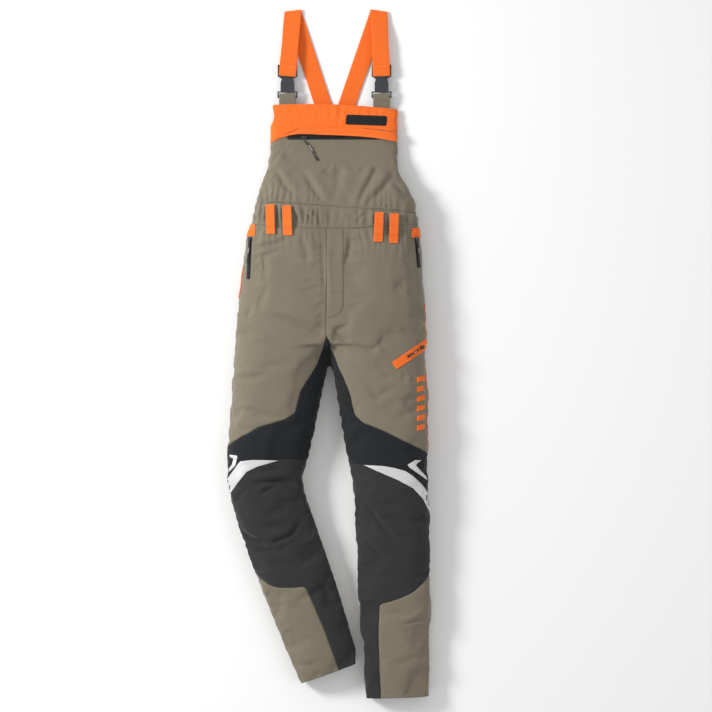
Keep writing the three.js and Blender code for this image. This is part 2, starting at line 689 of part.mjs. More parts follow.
for (const [name, strap] of Object.entries(straps)) {
  const up = new THREE.Vector3(0, 0, 1);
  const frontEnd = new THREE.Vector3(strap.x, strapFrontEndY, strapFrontZ);
  const fold = new THREE.Vector3(strap.top, strapTopY, foldTopZ);
  const backEnd = new THREE.Vector3(strap.back, strapEndY + gap, strapBackZ);
  const rise = fold.clone().sub(frontEnd).setZ(0).normalize();
  const fall = backEnd.clone().sub(fold).setZ(0).normalize();
  const foldLine = rise.clone().add(fall).normalize();
  if (foldLine.x > 0) foldLine.negate();
  const acrossFront = new THREE.Vector3(-rise.y, rise.x, 0);
  const outward = new THREE.Vector3(foldLine.y, -foldLine.x, 0);
  const radius = (foldTopZ - strapBackZ) / 2;
  const halfWidth = webbingWidth / 2;
  const sections = [{ middle: frontEnd, half: acrossFront.multiplyScalar(halfWidth), normal: up }];
  const foldSteps = 4;
  for (let i = 0; i <= foldSteps; i += 1) {
    const angle = Math.PI * i / foldSteps;
    const normal = outward.clone().multiplyScalar(Math.sin(angle)).addScaledVector(up, Math.cos(angle));
    const centre = new THREE.Vector3(strap.top, strapTopY, foldTopZ - radius);
    const half = foldLine.clone().multiplyScalar(halfWidth);
    sections.push({ middle: centre.addScaledVector(normal, radius), half, normal });
  }
  const down = up.clone().negate();
  const levelEnd = new THREE.Vector3(halfWidth / fall.y, 0, 0);
  sections.push({ middle: backEnd, half: levelEnd, normal: down });
  add(`${name}_strap`, band(sections, webbingThickness), webbingOrange);

  // The tab is sewn behind the bib's top edge and carries the female half.
  const x = strap.x;
  const femaleEndY = buckleY - femaleLength;
  const tab = rectangle(x - webbingWidth / 2, bibTopY - tabTuck, x + webbingWidth / 2, femaleEndY - buckleClearance);
  add(`${name}_buckle_tab`, prism(tab, tabTopZ - webbingThickness, tabTopZ), olive);

  // Female half: a flat housing, open at the mouth and at both sides, with a bar for the tab.
  const [fw, ft] = [femaleWidth / 2, femaleThickness / 2];
  const [low, high] = [buckleCentreZ - ft, buckleCentreZ + ft];
  const bodyOutline = [
    [x - fw, femaleEndY], [x + fw, femaleEndY], [x + fw, buckleY - mouthLength],
    [x + fw - mouthTaper, buckleY], [x - fw + mouthTaper, buckleY], [x - fw, buckleY - mouthLength],
  ];
  const inner = fw - femaleWall;
  const floorY = femaleEndY + 3;
  const hollow = prism(rectangle(x - inner, floorY, x + inner, buckleY + 1), low + femaleWall, high - femaleWall);
  const slotHalf = armThickness / 2 + buckleClearance;
  const sides = prism(rectangle(x - fw - 1, floorY + 3, x + fw + 1, buckleY + 1),
    buckleCentreZ - slotHalf, buckleCentreZ + slotHalf);
  const flange = flangeWidth / 2;
  const barOutline = rectangle(x - flange, femaleEndY - flangeLength, x + flange, femaleEndY + 0.5);
  const barSlot = rectangle(x - webbingWidth / 2 - 0.4, femaleEndY - flangeLength + 5,
    x + webbingWidth / 2 + 0.4, femaleEndY - 2);
  const bar = prism(barOutline, tabTopZ + gap, high - 1).subtract(prism(barSlot));
  add(`${name}_buckle_female`,
    prism(bodyOutline, low, high).subtract(hollow).subtract(sides).add(bar), charcoalPlastic);

  // Male half: a ladder frame for the strap, a neck and a middle guide.
  const frameY = buckleY + buckleClearance;
  const [mw, mt] = [frameWidth / 2, frameThickness / 2];
  const frame = prism([
    [x - mw + 8, frameY], [x + mw - 8, frameY], [x + mw, frameY + frameShoulder],
    [x + mw, frameY + frameLength], [x - mw, frameY + frameLength], [x - mw, frameY + frameShoulder],
  ], buckleCentreZ - mt, buckleCentreZ + mt);
  const slotLength = (frameLength - frameShoulder - 3 * frameBar) / 2;
  const firstSlot = frameY + frameShoulder + frameBar;
  const slots = [firstSlot, firstSlot + slotLength + frameBar].map((y) =>
    prism(rectangle(x - mw + frameBar, y, x + mw - frameBar, y + slotLength)));
  const guideLength = femaleLength - 7;
  const guide = prism(
    rectangle(x - guideWidth / 2, frameY - guideLength, x + guideWidth / 2, frameY + 1),
    buckleCentreZ - guideThickness / 2, buckleCentreZ + guideThickness / 2);
  add(`${name}_buckle_male`, frame.subtract(slots[0]).subtract(slots[1]).add(guide), charcoalPlastic);

  // Two spring arms with barbs that show at the sides of the housing.
  for (const [armName, side] of [['outer', -1], ['inner', 1]]) {
    const armX = inner - buckleClearance - armWidth;
    const armEndY = frameY - guideLength + 1;
    const outline = [
      [armX, frameY - gap], [armX, armEndY + 4], [armX - 1.5, armEndY],
      [armX + armWidth - 0.5, armEndY], [armX + armWidth + barbReach - 1, armEndY + 5],
      [armX + armWidth + barbReach - 1, armEndY + 10], [armX + armWidth, armEndY + 12],
      [armX + armWidth, frameY - gap],
    ].map(([dx, y]) => [x + side * dx, y]);
    add(`${name}_buckle_${armName}_arm`,
      prism(outline, buckleCentreZ - armThickness / 2, buckleCentreZ + armThickness / 2), charcoalPlastic);
  }
}

// ---------------------------------------------------------------- origin

// The origin is under the middle of the garment's box, on the floor.
const box = new THREE.Box3().setFromObject(group);
const middle = box.getCenter(new THREE.Vector3());
group.position.set(-middle.x, -middle.y, -box.min.z);

export default group;
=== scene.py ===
import json
import math

import bmesh
import bpy
import numpy as np
from mathutils import Matrix, Vector, noise
from mathutils.bvhtree import BVHTree


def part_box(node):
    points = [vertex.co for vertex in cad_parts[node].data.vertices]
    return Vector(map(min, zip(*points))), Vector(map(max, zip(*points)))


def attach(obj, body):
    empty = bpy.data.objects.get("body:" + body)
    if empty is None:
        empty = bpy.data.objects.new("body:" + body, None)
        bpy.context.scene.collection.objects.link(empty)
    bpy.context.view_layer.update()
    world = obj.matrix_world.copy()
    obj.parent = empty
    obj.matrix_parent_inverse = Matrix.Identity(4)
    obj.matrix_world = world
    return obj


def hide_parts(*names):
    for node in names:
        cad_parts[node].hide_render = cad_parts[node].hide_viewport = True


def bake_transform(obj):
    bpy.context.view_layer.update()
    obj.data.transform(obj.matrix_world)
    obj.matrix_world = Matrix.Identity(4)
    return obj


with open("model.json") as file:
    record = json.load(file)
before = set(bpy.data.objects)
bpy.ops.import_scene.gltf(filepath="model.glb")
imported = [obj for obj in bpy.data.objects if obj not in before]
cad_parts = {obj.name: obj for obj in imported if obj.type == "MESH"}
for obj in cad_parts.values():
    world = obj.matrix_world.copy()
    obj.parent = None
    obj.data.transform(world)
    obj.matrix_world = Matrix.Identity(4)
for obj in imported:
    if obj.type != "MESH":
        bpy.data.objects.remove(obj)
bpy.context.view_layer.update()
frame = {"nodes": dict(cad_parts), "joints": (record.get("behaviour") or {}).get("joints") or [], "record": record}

MM = 0.001
UP = Vector((0, 0, 1))
ORIGIN = Vector((4.427, 5.714, 0)) * MM

# ------------------------------------------------------------------ camera, floor and light

VIEW_CENTRE = Vector((0.0593, -0.0068, 0))
VIEW_WIDTH = 1.602
CAMERA_HEIGHT = 6.0
SENSOR = 36


def make_camera():
    data = bpy.data.cameras.new("camera")
    data.sensor_width = SENSOR
    data.lens = SENSOR * CAMERA_HEIGHT / VIEW_WIDTH
    camera = bpy.data.objects.new("camera", data)
    camera.location = VIEW_CENTRE + Vector((0, 0, CAMERA_HEIGHT))
    bpy.context.scene.collection.objects.link(camera)
    bpy.context.scene.camera = camera


def area_light(name, place, target, size, power):
    data = bpy.data.lights.new(name, "AREA")
    data.shape = "DISK"
    data.size = size
    data.energy = power
    light = bpy.data.objects.new(name, data)
    light.location = place
    light.rotation_euler = (Vector(target) - Vector(place)).to_track_quat("-Z", "Y").to_euler()
    bpy.context.scene.collection.objects.link(light)


def make_studio():
    area_light("key", (-2.5, 0.9, 1.9), (0, 0, 0), 0.9, 92)
    area_light("fill", (2.2, -0.4, 3.2), (0, 0, 0), 2.6, 12)
    world = bpy.data.worlds.new("studio")
    world.use_nodes = True
    background = world.node_tree.nodes["Background"]
    background.inputs["Color"].default_value = (1, 1, 1, 1)
    background.inputs["Strength"].default_value = 0.62
    bpy.context.scene.world = world
    bpy.context.scene.view_settings.view_transform = "Standard"


def make_floor():
    mesh = bpy.data.meshes.new("floor")
    bm = bmesh.new()
    bmesh.ops.create_grid(bm, x_segments=1, y_segments=1, size=6)
    bmesh.ops.translate(bm, verts=bm.verts, vec=(0, 0, -0.4 * MM))
    bm.to_mesh(mesh)
    bm.free()
    floor = bpy.data.objects.new("floor", mesh)
    bpy.context.scene.collection.objects.link(floor)
    material = bpy.data.materials.new("floor_paper")
    material.use_nodes = True
    shader = material.node_tree.nodes["Principled BSDF"]
    shader.inputs["Base Color"].default_value = (0.9, 0.9, 0.9, 1)
    shader.inputs["Roughness"].default_value = 0.9
    mesh.materials.append(material)


make_camera()
make_studio()
make_floor()

# ------------------------------------------------------------------ shared effects


def socket(tree, name, kind, way, value=None):
    made = tree.interface.new_socket(name=name, in_out=way, socket_type=kind)
    if value is not None:
        made.default_value = value


def math_node(tree, operation, first, second=None):
    node = tree.nodes.new("ShaderNodeMath")
    node.operation = operation
    for slot, value in ((0, first), (1, second)):
        if isinstance(value, (int, float)):
            node.inputs[slot].default_value = value
        elif value is not None:
            tree.links.new(value, node.inputs[slot])
    return node.outputs[0]


def noise_node(tree, place, scale, detail=3):
    node = tree.nodes.new("ShaderNodeTexNoise")
    node.inputs["Detail"].default_value = detail
    if isinstance(scale, (int, float)):
        node.inputs["Scale"].default_value = scale
    else:
        tree.links.new(scale, node.inputs["Scale"])
    tree.links.new(place, node.inputs["Vector"])
    return node.outputs["Fac"]


def weave_group():
    """Two crossed sets of yarns with fuzz. Puts out a height and a light-dark mask."""
    tree = bpy.data.node_groups.new("weave", "ShaderNodeTree")
    socket(tree, "Place", "NodeSocketVector", "INPUT")
    socket(tree, "Yarns per metre", "NodeSocketFloat", "INPUT", 900.0)
    socket(tree, "Turn", "NodeSocketFloat", "INPUT", 0.0)
    socket(tree, "Fuzz", "NodeSocketFloat", "INPUT", 0.4)
    socket(tree, "Height", "NodeSocketFloat", "OUTPUT")
    socket(tree, "Shade", "NodeSocketFloat", "OUTPUT")
    start = tree.nodes.new("NodeGroupInput")
    end = tree.nodes.new("NodeGroupOutput")
    turned = tree.nodes.new("ShaderNodeVectorRotate")
    turned.rotation_type = "Z_AXIS"
    tree.links.new(start.outputs["Place"], turned.inputs["Vector"])
    tree.links.new(start.outputs["Turn"], turned.inputs["Angle"])
    split = tree.nodes.new("ShaderNodeSeparateXYZ")
    tree.links.new(turned.outputs[0], split.inputs[0])
    waves = []
    for axis in ("X", "Y"):
        angle = math_node(tree, "MULTIPLY", split.outputs[axis], start.outputs["Yarns per metre"])
        waves.append(math_node(tree, "SINE", math_node(tree, "MULTIPLY", angle, 2 * math.pi)))
    crossing = math_node(tree, "MULTIPLY", waves[0], waves[1])
    fuzz = noise_node(tree, start.outputs["Place"], 420)
    soft = math_node(tree, "MULTIPLY", fuzz, start.outputs["Fuzz"])
    tree.links.new(math_node(tree, "ADD", crossing, soft), end.inputs["Height"])
    shade = math_node(tree, "ADD", math_node(tree, "MULTIPLY", crossing, 0.5), 0.5)
    tree.links.new(shade, end.inputs["Shade"])
    return tree


def mottle_group():
    """Uneven dye and handling: a broad and a fine cloudiness around 0.5."""
    tree = bpy.data.node_groups.new("mottle", "ShaderNodeTree")
    socket(tree, "Broad", "NodeSocketFloat", "INPUT", 9.0)
    socket(tree, "Fine", "NodeSocketFloat", "INPUT", 160.0)
    socket(tree, "Mask", "NodeSocketFloat", "OUTPUT")
    start = tree.nodes.new("NodeGroupInput")
    end = tree.nodes.new("NodeGroupOutput")
    place = tree.nodes.new("ShaderNodeTexCoord").outputs["Object"]
    broad = noise_node(tree, place, start.outputs["Broad"])
    fine = noise_node(tree, place, start.outputs["Fine"])
    total = math_node(tree, "ADD", math_node(tree, "MULTIPLY", broad, 0.6), math_node(tree, "MULTIPLY", fine, 0.4))
    tree.links.new(total, end.inputs["Mask"])
    return tree


weave = weave_group()
mottle = mottle_group()


def use_group(tree, group, **values):
    node = tree.nodes.new("ShaderNodeGroup")
    node.node_tree = group
    for name, value in values.items():
        node.inputs[name.replace("_", " ")].default_value = value
    return node


def new_material(name, roughness, metallic=0.0):
    material = bpy.data.materials.new(name)
    material.use_nodes = True
    shader = material.node_tree.nodes["Principled BSDF"]
    shader.inputs["Roughness"].default_value = roughness
    shader.inputs["Metallic"].default_value = metallic
    return material, material.node_tree, shader


def tint(tree, shader, color, amount, low, high):
    """Lightens and darkens a colour as a mask rises from 0.3 to 0.75."""
    ramp = tree.nodes.new("ShaderNodeMapRange")
    ramp.inputs["From Min"].default_value = 0.3
    ramp.inputs["From Max"].default_value = 0.75
    ramp.inputs["To Min"].default_value = low
    ramp.inputs["To Max"].default_value = high
    tree.links.new(amount, ramp.inputs["Value"])
    scaled = tree.nodes.new("ShaderNodeVectorMath")
    scaled.operation = "SCALE"
    scaled.inputs[0].default_value = color
    tree.links.new(ramp.outputs[0], scaled.inputs["Scale"])
    tree.links.new(scaled.outputs[0], shader.inputs["Base Color"])


def relief(tree, shader, height, strength, depth):
    bump = tree.nodes.new("ShaderNodeBump")
    bump.inputs["Strength"].default_value = strength
    bump.inputs["Distance"].default_value = depth
    tree.links.new(height, bump.inputs["Height"])
    tree.links.new(bump.outputs[0], shader.inputs["Normal"])


def cloth_material(name, color, yarns=900, turn=0.0, fuzz=0.4, bump=0.35, vary=0.12, roughness=0.85,
                   sheen=0.25, ripstop=0.0, metallic=0.0, along_strip=False):
    """Woven cloth. Ripstop is the depth of a fine square grid, 0 for none."""
    material, tree, shader = new_material(name, roughness, metallic)
    shader.inputs["Sheen Weight"].default_value = sheen
    shader.inputs["Sheen Roughness"].default_value = 0.5
    shader.inputs["Specular IOR Level"].default_value = 0.25
    if along_strip:
        place = tree.nodes.new("ShaderNodeUVMap").outputs["UV"]
    else:
        place = tree.nodes.new("ShaderNodeTexCoord").outputs["Object"]
    cloth = use_group(tree, weave, Yarns_per_metre=yarns, Turn=turn, Fuzz=fuzz)
    tree.links.new(place, cloth.inputs["Place"])
    clouds = use_group(tree, mottle)
    mask = math_node(tree, "ADD", math_node(tree, "MULTIPLY", clouds.outputs["Mask"], 0.85),
                     math_node(tree, "MULTIPLY", cloth.outputs["Shade"], 0.15))
    height = cloth.outputs["Height"]
    if ripstop:
        grid = tree.nodes.new("ShaderNodeTexBrick")
        grid.offset = 0
        grid.inputs["Scale"].default_value = 1
        grid.inputs["Mortar Size"].default_value = 0.35 * MM
        grid.inputs["Brick Width"].default_value = 5.5 * MM
        grid.inputs["Row Height"].default_value = 5.5 * MM
        tree.links.new(place, grid.inputs["Vector"])
        height = math_node(tree, "ADD", height, math_node(tree, "MULTIPLY", grid.outputs["Fac"], 2.0))
        mask = math_node(tree, "ADD", mask, math_node(tree, "MULTIPLY", grid.outputs["Fac"], ripstop))
    tint(tree, shader, color, mask, 1 - vary, 1 + vary)
    relief(tree, shader, height, bump, 0.25 * MM)
    return material


def hard_material(name, color, roughness, metallic=0.0, grain=1800, bump=0.2):
    """Moulded plastic or plated metal with a fine grain and a slight change of gloss."""
    material, tree, shader = new_material(name, roughness, metallic)
    place = tree.nodes.new("ShaderNodeTexCoord").outputs["Object"]
    clouds = use_group(tree, mottle, Broad=30.0, Fine=500.0)
    gloss = tree.nodes.new("ShaderNodeMapRange")
    gloss.inputs["To Min"].default_value = roughness - 0.1
    gloss.inputs["To Max"].default_value = roughness + 0.12
    tree.links.new(clouds.outputs["Mask"], gloss.inputs["Value"])
    tree.links.new(gloss.outputs[0], shader.inputs["Roughness"])
    tint(tree, shader, color, clouds.outputs["Mask"], 0.85, 1.2)
    relief(tree, shader, noise_node(tree, place, grain, 2), bump, 0.1 * MM)
    return material


OLIVE = (0.186, 0.16, 0.113)
CHARCOAL = (0.026, 0.0255, 0.027)
BLACK = (0.0105, 0.0125, 0.0145)
ORANGE = (0.88, 0.155, 0.018)
materials = {
    "olive_cloth": cloth_material("olive_cloth", OLIVE, yarns=850, turn=0.7, vary=0.08),
    "black_stretch": cloth_material("black_stretch", BLACK, yarns=1200, fuzz=0.8, vary=0.2, sheen=0.1),
    "dark_grey_cloth": cloth_material("dark_grey_cloth", CHARCOAL, yarns=800, vary=0.14, ripstop=0.5, sheen=0.12),
    "orange_cloth": cloth_material("orange_cloth", ORANGE, yarns=850, vary=0.06, sheen=0.08),
    "reflective_tape": cloth_material("reflective_tape", (0.62, 0.62, 0.63), yarns=1300, fuzz=0.2, vary=0.06,
                                      roughness=0.4, sheen=0, metallic=0.2, bump=0.2),
    "cut_inlay": cloth_material("cut_inlay", (0.72, 0.66, 0.5), yarns=260, turn=0.5, fuzz=2.2, bump=0.8),
    "orange_webbing": cloth_material("orange_webbing", ORANGE, yarns=420, fuzz=0.3, bump=0.8, vary=0.08,
                                     sheen=0.08, along_strip=True),
    "olive_webbing": cloth_material("olive_webbing", OLIVE, yarns=420, fuzz=0.3, bump=0.8, along_strip=True),
    "charcoal_plastic": hard_material("charcoal_plastic", (0.03, 0.033, 0.038), 0.42),
    "zip_metal": hard_material("zip_metal", (0.06, 0.062, 0.066), 0.35, metallic=0.85),
    "black_cord": hard_material("black_cord", (0.012, 0.012, 0.013), 0.55),
    # light grey colour of a painted highlight on the cord zip pulls
    "white_fleck": cloth_material("white_fleck", (0.75, 0.75, 0.75), yarns=2500, vary=0.05),
    "orange_thread": cloth_material("orange_thread", (1.0, 0.36, 0.1), yarns=2500, vary=0.05),
    "olive_thread": cloth_material("olive_thread", (0.1, 0.086, 0.06), yarns=2500, vary=0.05),
    "black_thread": cloth_material("black_thread", (0.03, 0.031, 0.033), yarns=2500, vary=0.05),
}
slot_of = {row["node"]: row["material_slot"] for row in frame["record"]["subparts"]}
body_of = {node: body for body, nodes in frame["record"]["behaviour"]["bodies"].items() for node in nodes}

# ------------------------------------------------------------------ moving with the frame

LEG_PARTS = ("front_thigh", "inner_thigh", "back_thigh", "thigh_inlay", "front_shin", "back_shin", "shin_inlay",
             "knee_flash", "ankle_patch")
WAIST_CLOTH = {"waistband_front", "waistband_back", "bib_panel", "back_bib_panel", "bib_pocket_bag",
               "right_outer_belt_loop", "right_inner_belt_loop", "left_inner_belt_loop", "left_outer_belt_loop"}


def follow(obj, node):
    """Leg and waist cloth keeps its place with its transform baked in; everything else moves with its node's body."""
    side, _, part = node.partition("_")
    if part in LEG_PARTS:
        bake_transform(obj)
    elif node in WAIST_CLOTH:
        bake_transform(obj)
    else:
        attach(obj, body_of[node])


def new_object(name, source, material, smooth=True):
    """A named object from a bmesh, with its material set."""
    mesh = bpy.data.meshes.new(name)
    source.to_mesh(mesh)
    source.free()
    mesh.materials.append(materials[material])
    mesh.polygons.foreach_set("use_smooth", np.full(len(mesh.polygons), smooth))
    obj = bpy.data.objects.new(name, mesh)
    bpy.context.scene.collection.objects.link(obj)
    return obj


def apply_modifiers(obj):
    graph = bpy.context.evaluated_depsgraph_get()
    mesh = bpy.data.meshes.new_from_object(obj.evaluated_get(graph))
    obj.modifiers.clear()
    old, obj.data = obj.data, mesh
    bpy.data.meshes.remove(old)


def thicken(obj, thickness, offset, rounding=0.0):
    solidify = obj.modifiers.new("thickness", "SOLIDIFY")
    solidify.thickness = thickness
    solidify.offset = offset
    if rounding:
        bevel = obj.modifiers.new("rounding", "BEVEL")
        bevel.width = rounding
        bevel.segments = 2
        bevel.limit_method = "ANGLE"
        bevel.angle_limit = math.radians(50)
    apply_modifiers(obj)
    obj.data.polygons.foreach_set("use_smooth", np.ones(len(obj.data.polygons), bool))


def coordinates(mesh):
    values = np.empty(len(mesh.vertices) * 3, np.float32)
    mesh.vertices.foreach_get("co", values)
    return values.reshape(-1, 3).astype(float)


SMALLEST_CUT = 10.5 * MM


def cut_size(obj):
    """A sheet's cut width, length and area, from its surface and its longest run on the floor."""
    points = coordinates(obj.data)
    flat = points[:, :2] - points[:, :2].mean(axis=0)
    axes = np.linalg.svd(flat.T @ flat)[0]
    extent = np.ptp(flat @ axes, axis=0)
    area = np.array([p.area for p in obj.data.polygons])
    lean = np.array([abs(p.normal.z) for p in obj.data.polygons])
    spread = area.sum() / max((area * lean).sum(), 1e-9)
    width, length = extent[1] * spread, extent[0]
    if min(width, length) < SMALLEST_CUT:
        return None
    share = min(max(area.sum() / (width * length), 0.31), 1.0)
    return {"flat": (width, length), "area": share * width * length}


def dress(obj, node, replaced=True, held=None, thickness=1.6 * MM, offset=-1.0, rounding=0.0):
    """Gives a cloth piece its thickness and its motion, and hides its node when it replaces it."""
    cut = cut_size(obj) if held else None
    if thickness:
        thicken(obj, thickness, offset, rounding)
    follow(obj, node)
    if replaced:
        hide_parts(node)


# ------------------------------------------------------------------ the body of cloth

FRONT = [f"{side}_{part}" for side in ("right", "left")
         for part in ("front_thigh", "inner_thigh", "front_shin", "ankle_patch")]
FRONT += ["waistband_front", "bib_panel"]
BACK = [f"{side}_{part}" for side in ("right", "left") for part in ("back_thigh", "back_shin")]
BACK += ["waistband_back", "back_bib_panel"]
GRID = 5 * MM
HEM_SPARE = 14 * MM
SHIN_LEAN = {"right": math.radians(19.8), "left": math.radians(1.6)}
LEG_DOWN = {side: Vector((math.sin(lean), -math.cos(lean), 0)) for side, lean in SHIN_LEAN.items()}
LEG_SPLIT_X = 0.0685
HEM_ZONE_Y = -0.64
LEG_GAP = 13 * MM


def search_tree(names):
    """One search tree over several CAD nodes, and the node that each triangle comes from."""
    points, faces, owner = [], [], []
    for name in names:
        mesh = frame["nodes"][name].data
        first = len(points)
        points += [v.co.copy() for v in mesh.vertices]
        faces += [[first + i for i in p.vertices] for p in mesh.polygons]
        owner += [name] * len(mesh.polygons)
    return BVHTree.FromPolygons(points, faces), owner


front_tree, front_owner = search_tree(FRONT)
back_tree, back_owner = search_tree(BACK)


def cast(tree, x, y, down=True):
    """The first height met above or below a place, looking past the thin seam gaps."""
    for dx, dy in ((0, 0), (0.5, 0.5), (-0.5, 0.5), (0.5, -0.5)):
        start = Vector((x + dx * MM, y + dy * MM, 0.5 if down else -0.5))
        hit = tree.ray_cast(start, -UP if down else UP)[0]
        if hit is not None:
            return hit.z
    return None


def height_at(x, y):
    """Top and bottom of the garment at a place, drawn out a little past the hems and the bib's top."""
    top = cast(front_tree, x, y)
    if top is None and y < HEM_ZONE_Y:
        side = "right" if x < LEG_SPLIT_X else "left"
        inside = Vector((x, y, 0)) - LEG_DOWN[side] * HEM_SPARE
        x, y = inside.x, inside.y
        top = cast(front_tree, x, y)
    elif top is None and y > 0.5:
        y -= HEM_SPARE
        top = cast(front_tree, x, y)
    if top is None:
        return None
    floor = cast(back_tree, x, y, down=False)
    return top, (1 * MM if floor is None else floor)


def body_volume():
    """The garment as one closed volume, read from the CAD panels on a grid."""
    left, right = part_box("right_front_thigh")[0].x - GRID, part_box("left_ankle_patch")[1].x + 2 * GRID
    low_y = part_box("left_back_shin")[0].y - HEM_SPARE
    high_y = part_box("bib_panel")[1].y + HEM_SPARE
    bm = bmesh.new()
    bmesh.ops.create_grid(bm, x_segments=int((right - left) / GRID), y_segments=int((high_y - low_y) / GRID),
                          size=0.5)
    place = Matrix.Translation(((left + right) / 2, (low_y + high_y) / 2, 0))
    bmesh.ops.transform(bm, verts=bm.verts, matrix=place @ Matrix.Diagonal((right - left, high_y - low_y, 1, 1)))
    tops, missing = {}, []
    for v in bm.verts:
        heights = height_at(v.co.x, v.co.y)
        between_legs = v.co.y < HEM_ZONE_Y and abs(v.co.x - LEG_SPLIT_X) < LEG_GAP / 2
        if heights is None or between_legs:
            missing.append(v)
        else:
            tops[(round(v.co.x, 5), round(v.co.y, 5))] = heights[0]
            v.co.z = heights[1]
    bmesh.ops.delete(bm, geom=missing, context="VERTS")
    for v in bmesh.ops.extrude_face_region(bm, geom=bm.faces[:])["geom"]:
        if isinstance(v, bmesh.types.BMVert):
            v.co.z = max(tops[(round(v.co.x, 5), round(v.co.y, 5))], v.co.z + 4 * MM)
    bmesh.ops.recalc_face_normals(bm, faces=bm.faces)
    return bm


def simulate(obj, frames, pressure, growth, cap, pinned):
    """Cloth under slight inner pressure, with spare cloth that has to wrinkle. Pinned points hold."""
    rest = coordinates(obj.data)
    group = obj.vertex_groups.new(name="pins")
    for i in np.nonzero(pinned > 0)[0]:
        group.add([int(i)], float(pinned[i]), "REPLACE")
    cloth = obj.modifiers.new("cloth", "CLOTH")
    settings = cloth.settings
    settings.quality = 6
    settings.mass = 0.3
    settings.tension_stiffness = 20
    settings.compression_stiffness = 20
    settings.shear_stiffness = 10
    settings.bending_stiffness = 0.3
    settings.use_pressure = True
    settings.uniform_pressure_force = pressure
    settings.shrink_min = -growth
    settings.effector_weights.gravity = 0
    settings.vertex_group_mass = "pins"
    cloth.point_cache.frame_start = 1
    cloth.point_cache.frame_end = frames
    for step in range(1, frames + 1):
        bpy.context.scene.frame_set(step)
    graph = bpy.context.evaluated_depsgraph_get()
    moved = coordinates(obj.evaluated_get(graph).data) - rest
    obj.modifiers.clear()
    bpy.context.scene.frame_set(1)
    length = np.linalg.norm(moved, axis=1, keepdims=True)
    moved *= np.tanh(length / cap) * cap / np.maximum(length, 1e-9)
    obj.data.vertices.foreach_set("co", (rest + moved).astype(np.float32).ravel())
    obj.data.update()


SEAM_HEIGHT = 26 * MM
FLOOR_CLOTH = 4 * MM
HOLD_REACH = 16 * MM
HELD_PLACES = ["bib_zip_pull", "thigh_pocket_welt", "fly_facing", "bib_pocket_flap"]
ZIP_SLIDES = {"bib_zip_slide": "bib_zip", "thigh_zip_slide": "thigh_pocket_zip",
              "right_hip_zip_slide": "right_hip_zip", "left_hip_zip_slide": "left_hip_zip"}


def smoothstep(value):
    value = np.clip(value, 0, 1)
    return value * value * (3 - 2 * value)



def zip_runs():
    """The ground over which each outside slider and its pull run."""
    boxes = []
    for joint in frame["joints"]:
        zip_name = ZIP_SLIDES.get(joint["name"])
        if zip_name:
            travel = Vector(joint["axis"]) * joint["range_m"][1]
            for node in (zip_name + "_slider", zip_name + "_pull"):
                low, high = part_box(node)
                boxes.append([Vector(map(f, place, place + travel)) for f, place in ((min, low), (max, high))])
    return boxes


def near_boxes(points, boxes):
    """One on the ground of a box, and less beside it down to nothing."""
    near = np.zeros(len(points))
    for low, high in boxes:
        apart = np.maximum(np.array(low)[:2] - points[:, :2], points[:, :2] - np.array(high)[:2])
        distance = np.linalg.norm(np.maximum(apart, 0), axis=1)
        near = np.maximum(near, smoothstep(1.4 - distance / HOLD_REACH))
    return near


def make_body():
    obj = new_object("cloth_body", body_volume(), "olive_cloth")
    remesh = obj.modifiers.new("remesh", "REMESH")
    remesh.mode = "VOXEL"
    remesh.voxel_size = 6 * MM
    relax = obj.modifiers.new("relax", "SMOOTH")
    relax.iterations = 6
    apply_modifiers(obj)
    height = coordinates(obj.data)[:, 2]
    pins = 0.75 * np.exp(-((height - SEAM_HEIGHT) / (8 * MM)) ** 2)
    pins[height < FLOOR_CLOTH] = 1
    points = coordinates(obj.data)
    pins = np.maximum(pins, near_boxes(points, [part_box(name) for name in HELD_PLACES] + zip_runs()))
    simulate(obj, frames=16, pressure=1.6, growth=0.08, cap=5 * MM, pinned=pins)
    finer = obj.modifiers.new("finer", "SUBSURF")
    finer.levels = finer.render_levels = 1
    apply_modifiers(obj)
    return obj
